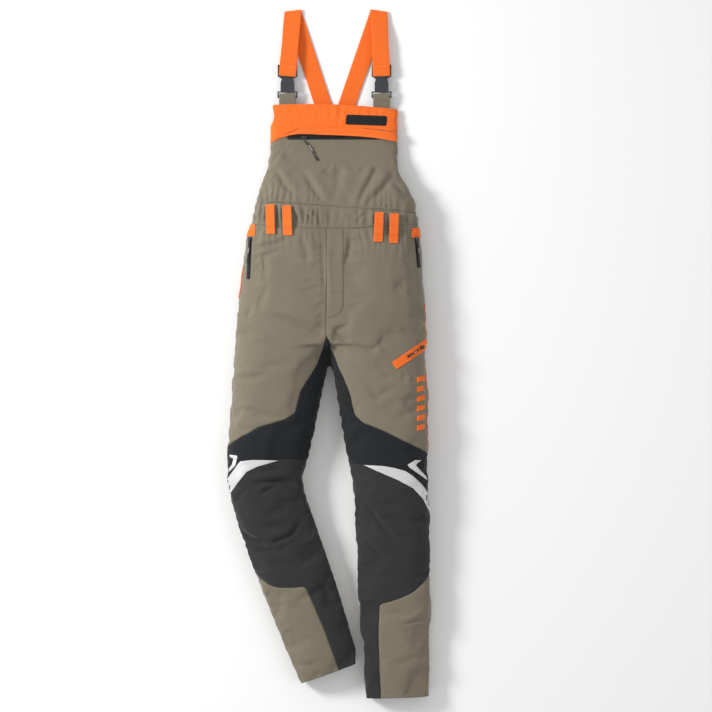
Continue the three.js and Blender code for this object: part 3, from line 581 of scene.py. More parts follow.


# ------------------------------------------------------------------ folds set one by one

# Each crease has its line in millimetres, its depth and its width. A soft ridge stands on its left.
CREASES = [
    ([(-115, 415), (-96, 382), (-72, 358)], 3.6, 6),
    ([(-52, 410), (-30, 372), (-6, 338)], 3.8, 7),
    ([(92, 340), (124, 372), (150, 410)], 4.0, 7),
    ([(70, 340), (100, 400), (120, 445)], 3.0, 6),
    ([(178, 352), (160, 372), (140, 398)], 2.6, 6),
    ([(-160, 340), (-136, 345), (-106, 342)], 3.0, 4),
    ([(20, 440), (26, 400), (18, 350)], 1.8, 10),
    ([(-84, 330), (-70, 312), (-60, 286)], 2.6, 4),
    ([(-52, 326), (-40, 308), (-26, 300)], 2.4, 3.5),
    ([(56, 306), (70, 300), (84, 318)], 2.4, 3.5),
    ([(160, 326), (170, 306), (186, 296)], 2.6, 4),
    ([(-176, 300), (-160, 306), (-142, 300)], 2.4, 4),
    ([(-190, 236), (-150, 240), (-108, 250), (-84, 262)], 3.6, 6),
    ([(-176, 215), (-140, 222), (-96, 236)], 2.4, 6),
    ([(-60, 268), (-48, 240), (-44, 205)], 2.2, 7),
    ([(42, 200), (49, 235), (52, 268)], 3.2, 6),
    ([(-8, 262), (-9, 220), (-6, 160), (-3, 110)], 3.2, 5),
    ([(-124, 92), (-80, 80), (-30, 60), (-8, 52)], 4.2, 6),
    ([(20, 52), (36, 36), (60, 20)], 2.6, 5),
    ([(8, 60), (22, 58), (46, 66)], 2.0, 5),
    ([(-205, -52), (-170, -50), (-132, -42)], 2.6, 8),
    ([(-206, -120), (-168, -122), (-128, -140)], 3.0, 7),
    ([(-170, -26), (-130, -24), (-80, -18)], 1.8, 9),
    ([(-200, -160), (-168, -166), (-120, -160)], 2.0, 7),
    ([(150, -72), (112, -92), (84, -60)], 2.6, 8),
    ([(150, -140), (176, -128), (206, -118)], 1.8, 8),
    ([(60, -20), (84, -34), (118, -36)], 1.6, 8),
    ([(-66, -286), (-100, -278), (-140, -281), (-170, -283)][::-1], 5.4, 6),
    ([(-152, -310), (-134, -298), (-112, -292)], 3.0, 5),
    ([(-204, -372), (-186, -398), (-158, -412), (-122, -416), (-84, -402), (-56, -366)], 4.8, 6),
    ([(-196, -350), (-170, -372), (-132, -384), (-92, -374)], 2.4, 8),
    ([(-150, -436), (-110, -432), (-60, -410)], 2.2, 7),
    ([(-206, -330), (-196, -312), (-180, -300)], 2.4, 6),
    ([(86, -330), (102, -352), (122, -380), (150, -410)], 4.2, 7),
    ([(62, -386), (84, -412), (104, -432), (128, -452)], 3.6, 6),
    ([(150, -398), (180, -402), (206, -398)], 2.0, 7),
    ([(202, -356), (212, -364), (224, -374)], 2.6, 4),
    ([(70, -300), (74, -330), (64, -356)], 2.0, 8),
    ([(166, -600), (192, -594), (224, -578)], 3.0, 5),
    ([(140, -690), (176, -682), (206, -668)], 1.6, 8),
    ([(-74, -688), (-50, -692), (-24, -686)], 2.0, 6),
    ([(-120, -560), (-92, -566), (-60, -560)], 1.4, 9),
    ([(-30, -500), (-8, -516), (8, -540)], 2.4, 5),
    ([(-102, -640), (-80, -648), (-64, -640)], 1.4, 8),
]
BACK_CREASES = [
    ([(-150, -230), (-110, -240), (-60, -236)], 5, 8),
    ([(80, -236), (130, -244), (200, -238)], 5, 8),
    ([(-170, -262), (-130, -270), (-90, -262)], 3.5, 7),
    ([(100, -270), (140, -266), (190, -274)], 3.5, 7),
    ([(-160, 30), (-100, 46), (-30, 38)], 5, 10),
    ([(40, 38), (100, 48), (170, 30)], 5, 10),
    ([(-100, 250), (-60, 236), (-30, 200)], 3, 9),
    ([(120, 250), (80, 236), (50, 200)], 3, 9),
    ([(-130, -480), (-90, -492), (-50, -480)], 3, 8),
    ([(110, -480), (150, -490), (200, -478)], 3, 8),
]
RIDGE_SHARE = 0.55
CREASE_GAIN = 1.5
WAIST_LOW, WAIST_HIGH = 0.281, 0.327
PLEAT = 15 * MM
PLEAT_DEPTH = 2.5 * MM
PLAIN_CENTRE = (-0.006, 0.05)


def crease_lift(points, line, depth, width):
    """How far each point moves at one crease: a valley, with a softer ridge on its left."""
    line = np.array(line) * MM - np.array(ORIGIN)[:2]
    width *= MM
    lengths = np.linalg.norm(np.diff(line, axis=0), axis=1)
    nearest = np.full(len(points), 1.0)
    signed = np.ones(len(points))
    along = np.zeros(len(points))
    walked = 0.0
    for a, b, length in zip(line[:-1], line[1:], lengths):
        run = (b - a) / length
        offset = points[:, :2] - a
        t = np.clip(offset @ run, 0, length)
        apart = offset - t[:, None] * run
        distance = np.linalg.norm(apart, axis=1)
        closer = distance < nearest
        side = np.sign(run[0] * apart[:, 1] - run[1] * apart[:, 0])
        nearest[closer] = distance[closer]
        signed[closer] = (distance * side)[closer]
        along[closer] = ((walked + t) / lengths.sum())[closer]
        walked += length
    taper = np.sin(np.pi * np.clip(along, 0.02, 0.98)) ** 0.7
    valley = np.exp(-(signed / width) ** 2)
    ridge = np.exp(-((signed - 1.9 * width) / (1.5 * width)) ** 2)
    return taper * depth * MM * (RIDGE_SHARE * ridge - valley)


def pleats(points):
    """Elastic gathers beside the plain centre of the waistband, dying away above and below it."""
    x, y = points[:, 0], points[:, 1] + 0.073 * (points[:, 0] - 0.012)
    wander = np.array([noise.noise(Vector((px * 30, py * 12, 1.7))) for px, py in points[:, :2]])
    wave = np.sin(2 * np.pi * (x / PLEAT + 0.9 * wander))
    strength = np.array([1 + 0.6 * noise.noise(Vector((px * 17, 4.2, 0.3))) for px in x])
    above = strength * np.exp(-np.maximum(y - WAIST_HIGH, 0) / (22 * MM))
    below = np.exp(-np.maximum(WAIST_LOW - y, 0) / (26 * MM))
    beside = smoothstep((PLAIN_CENTRE[0] - x) / (20 * MM)) + smoothstep((x - PLAIN_CENTRE[1]) / (20 * MM))
    hold = np.exp(-(np.minimum(abs(y - WAIST_LOW), abs(y - WAIST_HIGH)) / (3 * MM)) ** 2)
    return beside * (PLEAT_DEPTH * wave * above * below * (1 - 0.4 * hold) - 2.2 * MM * hold)


def shape_folds(obj):
    mesh = obj.data
    points = coordinates(mesh)
    normals = np.empty(len(points) * 3, np.float32)
    mesh.vertex_normals.foreach_get("vector", normals)
    normals = normals.reshape(-1, 3).astype(float)
    facing = smoothstep(normals[:, 2] / 0.5)
    behind = smoothstep(-normals[:, 2] / 0.5)
    lift = np.zeros(len(points))
    for line, depth, width in CREASES:
        lift += facing * crease_lift(points, line, CREASE_GAIN * depth, width)
    for line, depth, width in BACK_CREASES:
        lift += behind * np.minimum(crease_lift(points, line, depth, width), 0)
    lift += np.maximum(facing, 0.5 * behind) * pleats(points)
    soft = np.array([noise.noise(Vector(p) * 11 + Vector((3, 1, 2))) for p in points])
    fine = np.array([noise.noise(Vector((p[0] * 26, p[1] * 38, p[2] * 20))) for p in points])
    lift += facing * (1.5 * MM * soft + 0.5 * MM * fine)
    lift *= 1 - near_boxes(points, zip_runs())
    points += normals * lift[:, None]
    points[:, 2] = np.maximum(points[:, 2], 0.3 * MM)
    mesh.vertices.foreach_set("co", points.astype(np.float32).ravel())
    mesh.update()


body = make_body()
shape_folds(body)

# ------------------------------------------------------------------ cutting the panels

BIB_TOP_Y = 0.5515
YOKE_EDGE = [(-160, 475), (-130, 476), (-99, 493), (-61, 510), (73, 510), (159, 501), (200, 497)]
BACK_FREE_Y = 0.39
SEAM_SINK = 0.9 * MM


def yoke_edge(x):
    xs, ys = zip(*YOKE_EDGE)
    return (float(np.interp((x + ORIGIN.x) / MM, xs, ys)) * MM) - ORIGIN.y


def cut_off(bm, faces, place, direction):
    """Cuts away what lies beyond a plane, among some faces only."""
    around = {v for f in faces for v in f.verts} | {e for f in faces for e in f.edges}
    bmesh.ops.bisect_plane(bm, geom=list(around) + faces, plane_co=place, plane_no=direction, clear_outer=True)


def trim_ends(bm):
    """Cuts the spare cloth off at the hems and along the bib's top, which leaves them open."""
    for side, down in LEG_DOWN.items():
        reach = max(v.co.dot(down) for v in frame["nodes"][f"{side}_back_shin"].data.vertices) - 1 * MM
        leg = [f for f in bm.faces if f.calc_center_median().y < HEM_ZONE_Y
               and (f.calc_center_median().x < LEG_SPLIT_X) == (side == "right")]
        cut_off(bm, leg, down * reach, down)
    high = [f for f in bm.faces if f.calc_center_median().y > BIB_TOP_Y - 0.03]
    cut_off(bm, high, (0, BIB_TOP_Y, 0), (0.03, 1, 0))
    for v in bm.verts:
        top = float(smoothstep((v.co.y - 0.5) / 0.05))
        v.co.y += top * 6 * MM * max(1 - (v.co.x / 0.145) ** 2, 0)


def owner_of(face):
    """The CAD node that a face of the cloth stands for, or None where there is no cloth."""
    centre = face.calc_center_median()
    front, back = front_tree.find_nearest(centre), back_tree.find_nearest(centre)
    if face.normal.z < -0.3 and centre.y > BACK_FREE_Y and back[3] > 5 * MM:
        return None
    if back[3] < front[3]:
        return back_owner[back[2]]
    owner = front_owner[front[2]]
    if owner == "bib_panel" and centre.y > yoke_edge(centre.x):
        return "bib_yoke"
    return owner


def smooth_seams(points, edges, beside):
    """Draws jagged seams out into smooth lines, and evens the cloth next to them."""
    movable = np.array([i for i, near in beside.items() if len(near) == 2])
    pairs = np.array([beside[i] for i in movable])
    for _ in range(14):
        points[movable] = points[movable] * 0.5 + points[pairs].mean(axis=1) * 0.5
    fixed = np.zeros(len(points), bool)
    fixed[list(beside)] = True
    ring = fixed.copy()
    for _ in range(3):
        ring[edges[ring[edges].any(axis=1)].ravel()] = True
    free = ring & ~fixed
    degree = np.maximum(np.bincount(edges.ravel(), minlength=len(points)), 1)[:, None]
    for _ in range(4):
        total = np.zeros_like(points)
        np.add.at(total, edges[:, 0], points[edges[:, 1]])
        np.add.at(total, edges[:, 1], points[edges[:, 0]])
        points[free] = points[free] * 0.4 + (total / degree)[free] * 0.6


def cut_panels(bm):
    """Marks each face with its panel, smooths the seams and sinks them a little."""
    names = FRONT + BACK + ["bib_yoke"]
    label = bm.faces.layers.int.new("panel")
    bare = []
    for face in bm.faces:
        owner = owner_of(face)
        if owner is None:
            bare.append(face)
        else:
            face[label] = names.index(owner)
    bmesh.ops.delete(bm, geom=bare, context="FACES")
    bm.verts.ensure_lookup_table()
    bm.verts.index_update()
    beside = {}
    for edge in bm.edges:
        if len({f[label] for f in edge.link_faces}) > 1 or len(edge.link_faces) == 1:
            for v in edge.verts:
                beside.setdefault(v.index, []).append(edge.other_vert(v).index)
    points = np.array([v.co for v in bm.verts])
    edges = np.array([[v.index for v in e.verts] for e in bm.edges])
    smooth_seams(points, edges, beside)
    for v, p in zip(bm.verts, points):
        sunk = v.index in beside and not v.is_boundary
        v.co = Vector(p) - v.normal * (SEAM_SINK if sunk else 0)
    bm.normal_update()
    return names, label


def seam_lines(bm, label, names):
    """Every seam as ordered points, keyed by the panels that it joins, or one panel at a free edge."""
    groups = {}
    for edge in bm.edges:
        panels = sorted({names[f[label]] for f in edge.link_faces})
        if len(panels) == 2 or len(edge.link_faces) == 1:
            groups.setdefault(tuple(panels), []).append(tuple(v.index for v in edge.verts))
    lines = {}
    for key, edges in groups.items():
        near = {}
        for a, b in edges:
            near.setdefault(a, []).append(b)
            near.setdefault(b, []).append(a)
        unused = {frozenset(e) for e in edges}
        chains = []
        for start in [v for v, n in near.items() if len(n) == 1] + list(near):
            chain = [start]
            while True:
                step = next((n for n in near[chain[-1]] if frozenset((chain[-1], n)) in unused), None)
                if step is None:
                    break
                unused.discard(frozenset((chain[-1], step)))
                chain.append(step)
            if len(chain) > 6:
                chains.append([bm.verts[i].co.copy() for i in chain])
        lines[key] = chains
    return lines


whole = bmesh.new()
whole.from_mesh(body.data)
bpy.data.objects.remove(body)
trim_ends(whole)
whole.normal_update()
panel_names, panel_label = cut_panels(whole)
whole.verts.ensure_lookup_table()
whole.faces.ensure_lookup_table()
seams = seam_lines(whole, panel_label, panel_names)
skin = BVHTree.FromBMesh(whole)


def on_skin(x, y):
    """The place on the front of the cloth over a point, and the outward direction there."""
    hit = skin.ray_cast(Vector((x, y, 0.5)), -UP)
    if hit[0] is None or hit[1].z < 0.15:
        hit = skin.find_nearest(Vector((x, y, 30 * MM)))
    return hit[0], hit[1]


def panel_patch(names, footprint=None, depth=0.0, above=-2.0):
    """The faces of some panels as their own bmesh, moved inwards by depth."""
    wanted = {panel_names.index(n) for n in names}
    bm = whole.copy()
    label = bm.faces.layers.int["panel"]
    spare = []
    for face in bm.faces:
        keep = face[label] in wanted and face.normal.z > above
        if keep and footprint:
            centre = face.calc_center_median()
            keep = cast(footprint, centre.x, centre.y) is not None
        if not keep:
            spare.append(face)
    bmesh.ops.delete(bm, geom=spare, context="FACES")
    if depth:
        bm.normal_update()
        shifts = [v.normal * depth for v in bm.verts]
        for v, shift in zip(bm.verts, shifts):
            v.co -= shift
    return bm


SHELL = 1.6 * MM
BESIDE = 2.5 * MM
INLAY_LOWEST = 34 * MM
INLAY_EDGE = 11 * MM
YOKE_LIFT = 0.5 * MM
for name in FRONT + BACK:
    dress(new_object(name + "_cloth", panel_patch([name]), slot_of[name]), name, held="laid", thickness=SHELL)
dress(new_object("bib_yoke_cloth", panel_patch(["bib_yoke"], depth=-YOKE_LIFT), "orange_cloth"), "bib_yoke",
      held="laid", thickness=SHELL + YOKE_LIFT)

FRONT_OF_LEG = ("front_thigh", "inner_thigh", "front_shin", "ankle_patch")


def inner_layer(node, panels, depth, thickness, padded=None):
    """A layer behind the front cloth, over the same ground as its CAD node."""
    tree = search_tree([node])[0]
    bm = panel_patch(panels, tree, depth, above=0.45)
    if padded is not None:
        thin = []
        for face in bm.faces:
            centre = face.calc_center_median()
            heights = [on_skin(centre.x + dx, centre.y)[0].z for dx in (-INLAY_EDGE, 0, INLAY_EDGE)]
            if min(heights) < INLAY_LOWEST:
                thin.append(face)
        bmesh.ops.delete(bm, geom=thin, context="FACES")
    for v in bm.verts:
        for dx, dy in ((0, 0), (BESIDE, 0), (-BESIDE, 0), (0, BESIDE), (0, -BESIDE)):
            place, _ = on_skin(v.co.x + dx, v.co.y + dy)
            v.co.z = min(v.co.z, place.z - SHELL - 0.5 * MM)
    bm.normal_update()
    bmesh.ops.delete(bm, geom=[f for f in bm.faces if f.normal.z < 0.3], context="FACES")
    layer = new_object(node + "_layer", bm, slot_of[node])
    dress(layer, node, held=None if padded is not None else "laid", thickness=thickness)


for side in ("right", "left"):
    leg = [f"{side}_{part}" for part in FRONT_OF_LEG]
    inner_layer(f"{side}_thigh_inlay", leg, 3.6 * MM, 5 * MM, padded=0.2)
    inner_layer(f"{side}_shin_inlay", leg, 3.6 * MM, 5 * MM, padded=0.2)
    inner_layer(f"{side}_hip_pocket_bag", [f"{side}_front_thigh"], 2.0 * MM, 0.8 * MM)
inner_layer("bib_pocket_bag", ["bib_panel", "bib_yoke"], 2.2 * MM, 0.8 * MM)
inner_layer("fly_zip_tape", ["right_front_thigh", "left_front_thigh"], 2.0 * MM, 1.0 * MM)

# ------------------------------------------------------------------ pieces laid on the cloth


def row(points):
    """Points in millimetres in the garment's own measures, as places in the frame."""
    return [Vector((p[0], p[1], 0)) * MM - ORIGIN for p in points]


def smooth_normal(x, y, reach=3 * MM):
    total = Vector()
    for dx, dy in ((0, 0), (1, 0), (-1, 0), (0, 1), (0, -1)):
        total += on_skin(x + dx * reach, y + dy * reach)[1]
    return total.normalized()


def rounded(outline, steps=4):
    """A smooth line through the points."""
    curve = []
    count = len(outline)
    for i in range(count - 1):
        p0, p1 = outline[max(i - 1, 0)], outline[i]
        p2, p3 = outline[i + 1], outline[min(i + 2, count - 1)]
        for k in range(steps):
            t = k / steps
            curve.append(tuple(0.5 * (2 * b + (c - a) * t + (2 * a - 5 * b + 4 * c - d) * t * t
                                      + (3 * b - a - 3 * c + d) * t ** 3)
                               for a, b, c, d in zip(p0, p1, p2, p3)))
    return curve + [tuple(outline[-1])]


def cut_flat(outline, spacing):
    """A flat piece with a crisp outline, cut into a grid so that it can follow the cloth."""
    bm = bmesh.new()
    bm.faces.new([bm.verts.new(p) for p in outline])
    low = [min(p[k] for p in outline) for k in (0, 1)]
    high = [max(p[k] for p in outline) for k in (0, 1)]
    for axis in (0, 1):
        direction = (1, 0, 0) if axis == 0 else (0, 1, 0)
        count = int((high[axis] - low[axis]) / spacing)
        for i in range(1, count + 1):
            at = low[axis] + (high[axis] - low[axis]) * i / (count + 1)
            place = (at, 0, 0) if axis == 0 else (0, at, 0)
            bmesh.ops.bisect_plane(bm, geom=bm.verts[:] + bm.edges[:] + bm.faces[:], plane_co=place,
                                   plane_no=direction)
    bmesh.ops.triangulate(bm, faces=[f for f in bm.faces if len(f.verts) > 4])
    bmesh.ops.recalc_face_normals(bm, faces=bm.faces)
    bm.faces.ensure_lookup_table()
    if bm.faces[0].normal.z < 0:
        bmesh.ops.reverse_faces(bm, faces=bm.faces)
    return bm


def lay(name, outline, material, host, replaced=False, spacing=4 * MM, lift=0.3 * MM, thickness=1.0 * MM,
        rise=None, rounding=0.25 * MM):
    """A piece of cloth with a crisp outline, laid on the front. Rise adds a height from a place."""
    bm = cut_flat(row(outline), spacing)
    places = []
    for v in bm.verts:
        extra = rise(v.co.x, v.co.y) if rise else 0
        places.append(on_skin(v.co.x, v.co.y)[0] + smooth_normal(v.co.x, v.co.y) * (lift + extra))
    for v, place in zip(bm.verts, places):
        v.co = place
    obj = new_object(name, bm, material)
    dress(obj, host, replaced=replaced, held="laid", thickness=thickness, offset=1.0, rounding=rounding)
    return obj


threads = {}
BEAD_HALF = 1.15 * MM
STITCH = 3.4 * MM


def add_stitch(host, material, place, normal, along):
    bm = threads.setdefault((host, material), bmesh.new())
    side = normal.cross(along).normalized()
    ahead = side.cross(normal).normalized()
    turn = Matrix((ahead, side, normal)).transposed().to_4x4()
    size = Matrix.Diagonal((BEAD_HALF, 0.32 * MM, 0.34 * MM, 1))
    bmesh.ops.create_uvsphere(bm, u_segments=6, v_segments=4, radius=1,
                              matrix=Matrix.Translation(place + normal * 0.12 * MM) @ turn @ size)


def stitch_line(host, material, points, shift=0.0, lift=0.0, pitch=STITCH):
    """Stitches along a line of places, moved sideways by shift and dropped onto the cloth."""
    carried = pitch / 2
    for a, b in zip(points[:-1], points[1:]):
        length = (b - a).length
        if length < 1e-7:
            continue
        along = (b - a) / length
        while carried < length:
            place = a + along * carried
            normal = skin.find_nearest(place)[1]
            place, normal = skin.find_nearest(place + normal.cross(along).normalized() * shift)[:2]
            add_stitch(host, material, place + normal * lift, normal, along)
            carried += pitch
        carried -= length


def stitch_seam(key, host, material, shifts, lift=0.0):
    """Topstitching beside a seam, on the host's side of it."""
    wanted = panel_names.index(host)
    for line in seams.get(tuple(sorted(key)), []):
        line = line[::2] + ([line[-1]] if len(line) % 2 == 0 else [])
        if len(line) < 4:
            continue
        votes = 0
        for k in range(1, len(line) - 1, max(1, len(line) // 9)):
            along = (line[k + 1] - line[k]).normalized()
            across = skin.find_nearest(line[k])[1].cross(along).normalized()
            found = skin.find_nearest(line[k] + across * 4 * MM)
            votes += 1 if whole.faces[found[2]][panel_label] == wanted else -1
        for shift in shifts:
            stitch_line(host, material, line, shift * MM * (1 if votes > 0 else -1), lift)


for side in ("right", "left"):
    part = {name: f"{side}_{name}" for name in FRONT_OF_LEG + ("back_thigh", "back_shin")}
    stitch_seam((part["front_thigh"], part["inner_thigh"]), part["front_thigh"], "olive_thread", (1.6,))
    stitch_seam((part["inner_thigh"], part["front_shin"]), part["inner_thigh"], "black_thread", (1.6,))
    stitch_seam((part["front_shin"], part["ankle_patch"]), part["front_shin"], "black_thread", (1.6,))
    stitch_seam((part["front_thigh"], part["back_thigh"]), part["front_thigh"], "olive_thread", (1.8,))
    stitch_seam((part["front_shin"], part["back_shin"]), part["front_shin"], "black_thread", (1.8,))
    stitch_seam((part["back_thigh"], part["back_shin"]), part["back_thigh"], "olive_thread", (1.8, 6))
    for name, thread in (("ankle_patch", "olive_thread"), ("front_shin", "black_thread"),
                         ("back_shin", "olive_thread")):
        stitch_seam((part[name],), part[name], thread, (2.5, 13))
    stitch_seam(("waistband_front", part["front_thigh"]), "waistband_front", "olive_thread", (1.6,))
    stitch_seam(("waistband_back", part["back_thigh"]), "waistband_back", "olive_thread", (1.6, 5))
stitch_seam(("right_front_thigh", "left_front_thigh"), "right_front_thigh", "olive_thread", (1.6,))
stitch_seam(("right_back_thigh", "left_back_thigh"), "right_back_thigh", "olive_thread", (1.6, 6))
stitch_seam(("waistband_front", "bib_panel"), "waistband_front", "olive_thread", (1.6,))
stitch_seam(("waistband_back", "back_bib_panel"), "waistband_back", "olive_thread", (1.6,))
stitch_seam(("bib_panel",), "bib_panel", "olive_thread", (2.2,))
stitch_seam(("bib_yoke",), "bib_yoke", "orange_thread", (2.2, 7), lift=YOKE_LIFT)
stitch_seam(("bib_yoke", "bib_panel"), "bib_yoke", "orange_thread", (2.2,), lift=YOKE_LIFT)
stitch_seam(("back_bib_panel",), "back_bib_panel", "olive_thread", (2.2,))

# ------------------------------------------------------------------ fly, loops, pockets, flap


def flat_line(points, steps=0):
    return [on_skin(p.x, p.y)[0] for p in row(rounded(points, steps) if steps else points)]


FLY = [(1, 279), (35.5, 279), (35.5, 144), (35.3, 118), (33, 103), (25, 92), (13, 86), (1, 84)]
FLY_STITCH = [(32, 278), (32, 144), (31.5, 118), (28.5, 104), (21.5, 95), (12, 89), (3, 87)]
FLY_LIFT = 1.1 * MM
lay("fly_facing_cloth", FLY, "olive_cloth", "fly_facing", replaced=True, lift=0.2 * MM, thickness=0.9 * MM)
stitch_line("fly_facing", "olive_thread", flat_line(FLY_STITCH, 4), lift=FLY_LIFT)
for y in (224, 221, 141, 138):
    stitch_line("fly_facing", "olive_thread", flat_line([(4, y), (18, y), (33, y)]), lift=FLY_LIFT)


for x in (0, 46.5):
    edge = [(x, y) for y in (282, 290, 298, 306, 314)]
    stitch_line("waistband_front", "olive_thread", flat_line(edge), lift=0.1 * MM)
    stitch_line("waistband_front", "olive_thread", flat_line([(px + 3, py) for px, py in edge]), lift=0.1 * MM)


def strip(name, sections, width, material, columns=6, thickness=1.6 * MM, rounding=0.35 * MM):
    """Webbing along sections, each a middle and a half-width vector. Its weave follows its length."""
    rows = len(sections) - 1
    bm = bmesh.new()
    bmesh.ops.create_grid(bm, x_segments=columns, y_segments=rows, size=0.5)
    run = [0.0]
    for (a, _), (b, _) in zip(sections[:-1], sections[1:]):
        run.append(run[-1] + (b - a).length)
    uv = bm.loops.layers.uv.new("weave")
    for face in bm.faces:
        for loop in face.loops:
            across, k = loop.vert.co.x, round((loop.vert.co.y + 0.5) * rows)
            loop[uv].uv = (across * width, run[k])
    for v in bm.verts:
        middle, half = sections[round((v.co.y + 0.5) * rows)]
        v.co = middle + half * (2 * v.co.x)
    obj = new_object(name, bm, material)
    cut = {"flat": (max(width, SMALLEST_CUT), run[-1]), "area": 0.99 * width * run[-1]}
    thicken(obj, thickness, 0.0, rounding)
    return obj, cut


def stitch_strip(host, thread, sections, share, lift):
    """A row of stitches along webbing, at a share of its half width."""
    carried = STITCH / 2
    line = [middle + half * share for middle, half in sections]
    for a, b, (_, half) in zip(line[:-1], line[1:], sections):
        length = (b - a).length
        along = (b - a) / max(length, 1e-9)
        normal = half.cross(along).normalized()
        while carried < length:
            add_stitch(host, thread, a + along * carried + normal * lift, normal, along)
            carried += STITCH
        carried -= length


def stitch_across(host, thread, middle, half, along, lift):
    """A row of stitches from edge to edge of webbing."""
    normal = half.cross(along).normalized()
    count = int(2 * half.length / STITCH)
    for i in range(count):
        share = (i + 0.5) / count * 1.84 - 0.92
        add_stitch(host, thread, middle + half * share + normal * lift, normal, half.normalized())


LOOP_WIDTH, LOOP_LENGTH, LOOP_FOOT = 20.5 * MM, 66 * MM, 11 * MM
LOOP_ARCH = 4.2 * MM
LOOPS = {"right_outer": (-126.5, -2), "right_inner": (-89, -3), "left_inner": (114, 3), "left_outer": (148, 2.5)}


def belt_loop(name, x, lean):
    """A strip sewn down at both ends, which arches over the belt, with four rows of stitches."""
    low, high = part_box(f"{name}_belt_loop")
    start_y, rows = (low.y + high.y - LOOP_LENGTH) / 2, 26
    centre = x * MM - ORIGIN.x
    ground, tilt = [], []
    for k in range(rows + 1):
        y = start_y + LOOP_LENGTH * k / rows
        heights = [on_skin(centre + d * MM, y)[0].z for d in (-9, -4, 0, 4, 9)]
        ground.append(max(heights))
        tilt.append((heights[4] + heights[3] - heights[1] - heights[0]) / (26 * MM))
    calm = np.convolve(np.pad(ground, 5, mode="edge"), np.ones(11) / 11, mode="valid")
    slope = float(np.mean(tilt))
    sections = []
    for k in range(rows + 1):
        gone = LOOP_LENGTH * k / rows
        arch = float(smoothstep((min(gone, LOOP_LENGTH - gone) - LOOP_FOOT) / (10 * MM)))
        middle = Vector((centre + lean * MM * (k / rows - 0.5), start_y + gone, calm[k] + 1.2 * MM + LOOP_ARCH * arch))
        sections.append((middle, Vector((1, 0, slope)).normalized() * LOOP_WIDTH / 2))
    obj, cut = strip(f"{name}_belt_loop_strip", sections, LOOP_WIDTH, "orange_webbing")
    host = f"{name}_belt_loop"
    for share in (-0.78, -0.46, 0.46, 0.78):
        stitch_strip(host, "orange_thread", sections, share, 0.85 * MM)
    for k in (1, 4, rows - 4, rows - 1):
        middle, half = sections[k]
        stitch_across(host, "orange_thread", middle, half, Vector((0, 1, 0)), 0.85 * MM)
    follow(obj, host)
    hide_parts(host)


for loop_name, (loop_x, loop_lean) in LOOPS.items():
    belt_loop(loop_name, loop_x, loop_lean)


def tooth(host, place, normal, along):
    bm = threads.setdefault((host, "zip_metal"), bmesh.new())
    side = normal.cross(along).normalized()
    turn = Matrix((along.normalized(), side, normal)).transposed().to_4x4()
    bmesh.ops.create_cube(bm, size=1, matrix=Matrix.Translation(place) @ turn
                          @ Matrix.Diagonal((1.3 * MM, 4.2 * MM, 0.9 * MM, 1)))


def zip_teeth(host, points, lift):
    for a, b in zip(points[:-1], points[1:]):
        count = int((b - a).length / (2.4 * MM))
        for i in range(count):
            place, normal = on_skin(*(a + (b - a) * ((i + 0.5) / count)).xy)
            tooth(host, place + normal * lift, normal, b - a)


def box_outline(x0, y0, x1, y1):
    return [(x0, y0), (x1, y0), (x1, y1), (x0, y1)]


BIB_ZIP_Y = 487
lay("bib_zip_tape_cloth", box_outline(-88, BIB_ZIP_Y - 3.6, 114, BIB_ZIP_Y + 9), "black_stretch", "bib_zip_tape",
    replaced=True, lift=0.2 * MM, thickness=0.6 * MM)
zip_teeth("bib_zip_tape", row([(-92, BIB_ZIP_Y), (118, BIB_ZIP_Y)]), 1.1 * MM)

FLAP_LOW = [(-116, 480.5), (-106, 486), (-86, 492.5), (-65, 495), (-40, 494.6), (-13, 493), (30, 491.5), (73, 489),
            (100, 486.5), (125, 483), (152, 477.5)]
FLAP_TOP = [(152, 499.5), (73, 508.5), (-61, 508.5), (-99, 491.5)]
FLAP_STAND = 4.6 * MM


def flap_rise(x, y):
    return 0.9 * MM + FLAP_STAND * float(smoothstep((yoke_edge(x) - y) / (22 * MM)))


lay("bib_pocket_flap_cloth", FLAP_LOW + FLAP_TOP, "orange_cloth", "bib_pocket_flap", replaced=True, rise=flap_rise,
    thickness=1.5 * MM, rounding=0.5 * MM)


def stitch_flap(points):
    places = []
    for p in row(rounded(points, 3)):
        place, _ = on_skin(p.x, p.y)
        places.append(place + smooth_normal(p.x, p.y) * (0.3 * MM + flap_rise(p.x, p.y) + 1.5 * MM))
    carried = STITCH / 2
    for a, b in zip(places[:-1], places[1:]):
        length = (b - a).length
        along = (b - a) / max(length, 1e-9)
        while carried < length:
            add_stitch("bib_pocket_flap", "orange_thread", a + along * carried, UP, along)
            carried += STITCH
        carried -= length


stitch_flap([(x, y + 3.2) for x, y in FLAP_LOW[1:-1]])
stitch_flap([(x, y - 2.4) for x, y in FLAP_TOP[:-1]])

WELTS = {"right_hip_pocket_welt": box_outline(-179.5, 266, -160.5, 292),
         "left_hip_pocket_welt": box_outline(187.5, 262, 207, 284)}
for name, outline in WELTS.items():
    lay(name + "_cloth", outline, "orange_cloth", name, replaced=True, thickness=1.2 * MM)
    inset = [(x + (1.8 if x < sum(p[0] for p in outline) / 4 else -1.8), y) for x, y in outline]
    for pair in (inset[0::3], inset[1:3]):
        stitch_line(name, "orange_thread", flat_line([pair[0], pair[1]]), lift=1.5 * MM)

SLANT = math.radians(34)
WELT_START = (148, -23)


def along_welt(distance, side):
    return (WELT_START[0] + math.cos(SLANT) * distance - math.sin(SLANT) * side,
            WELT_START[1] + math.sin(SLANT) * distance + math.cos(SLANT) * side)


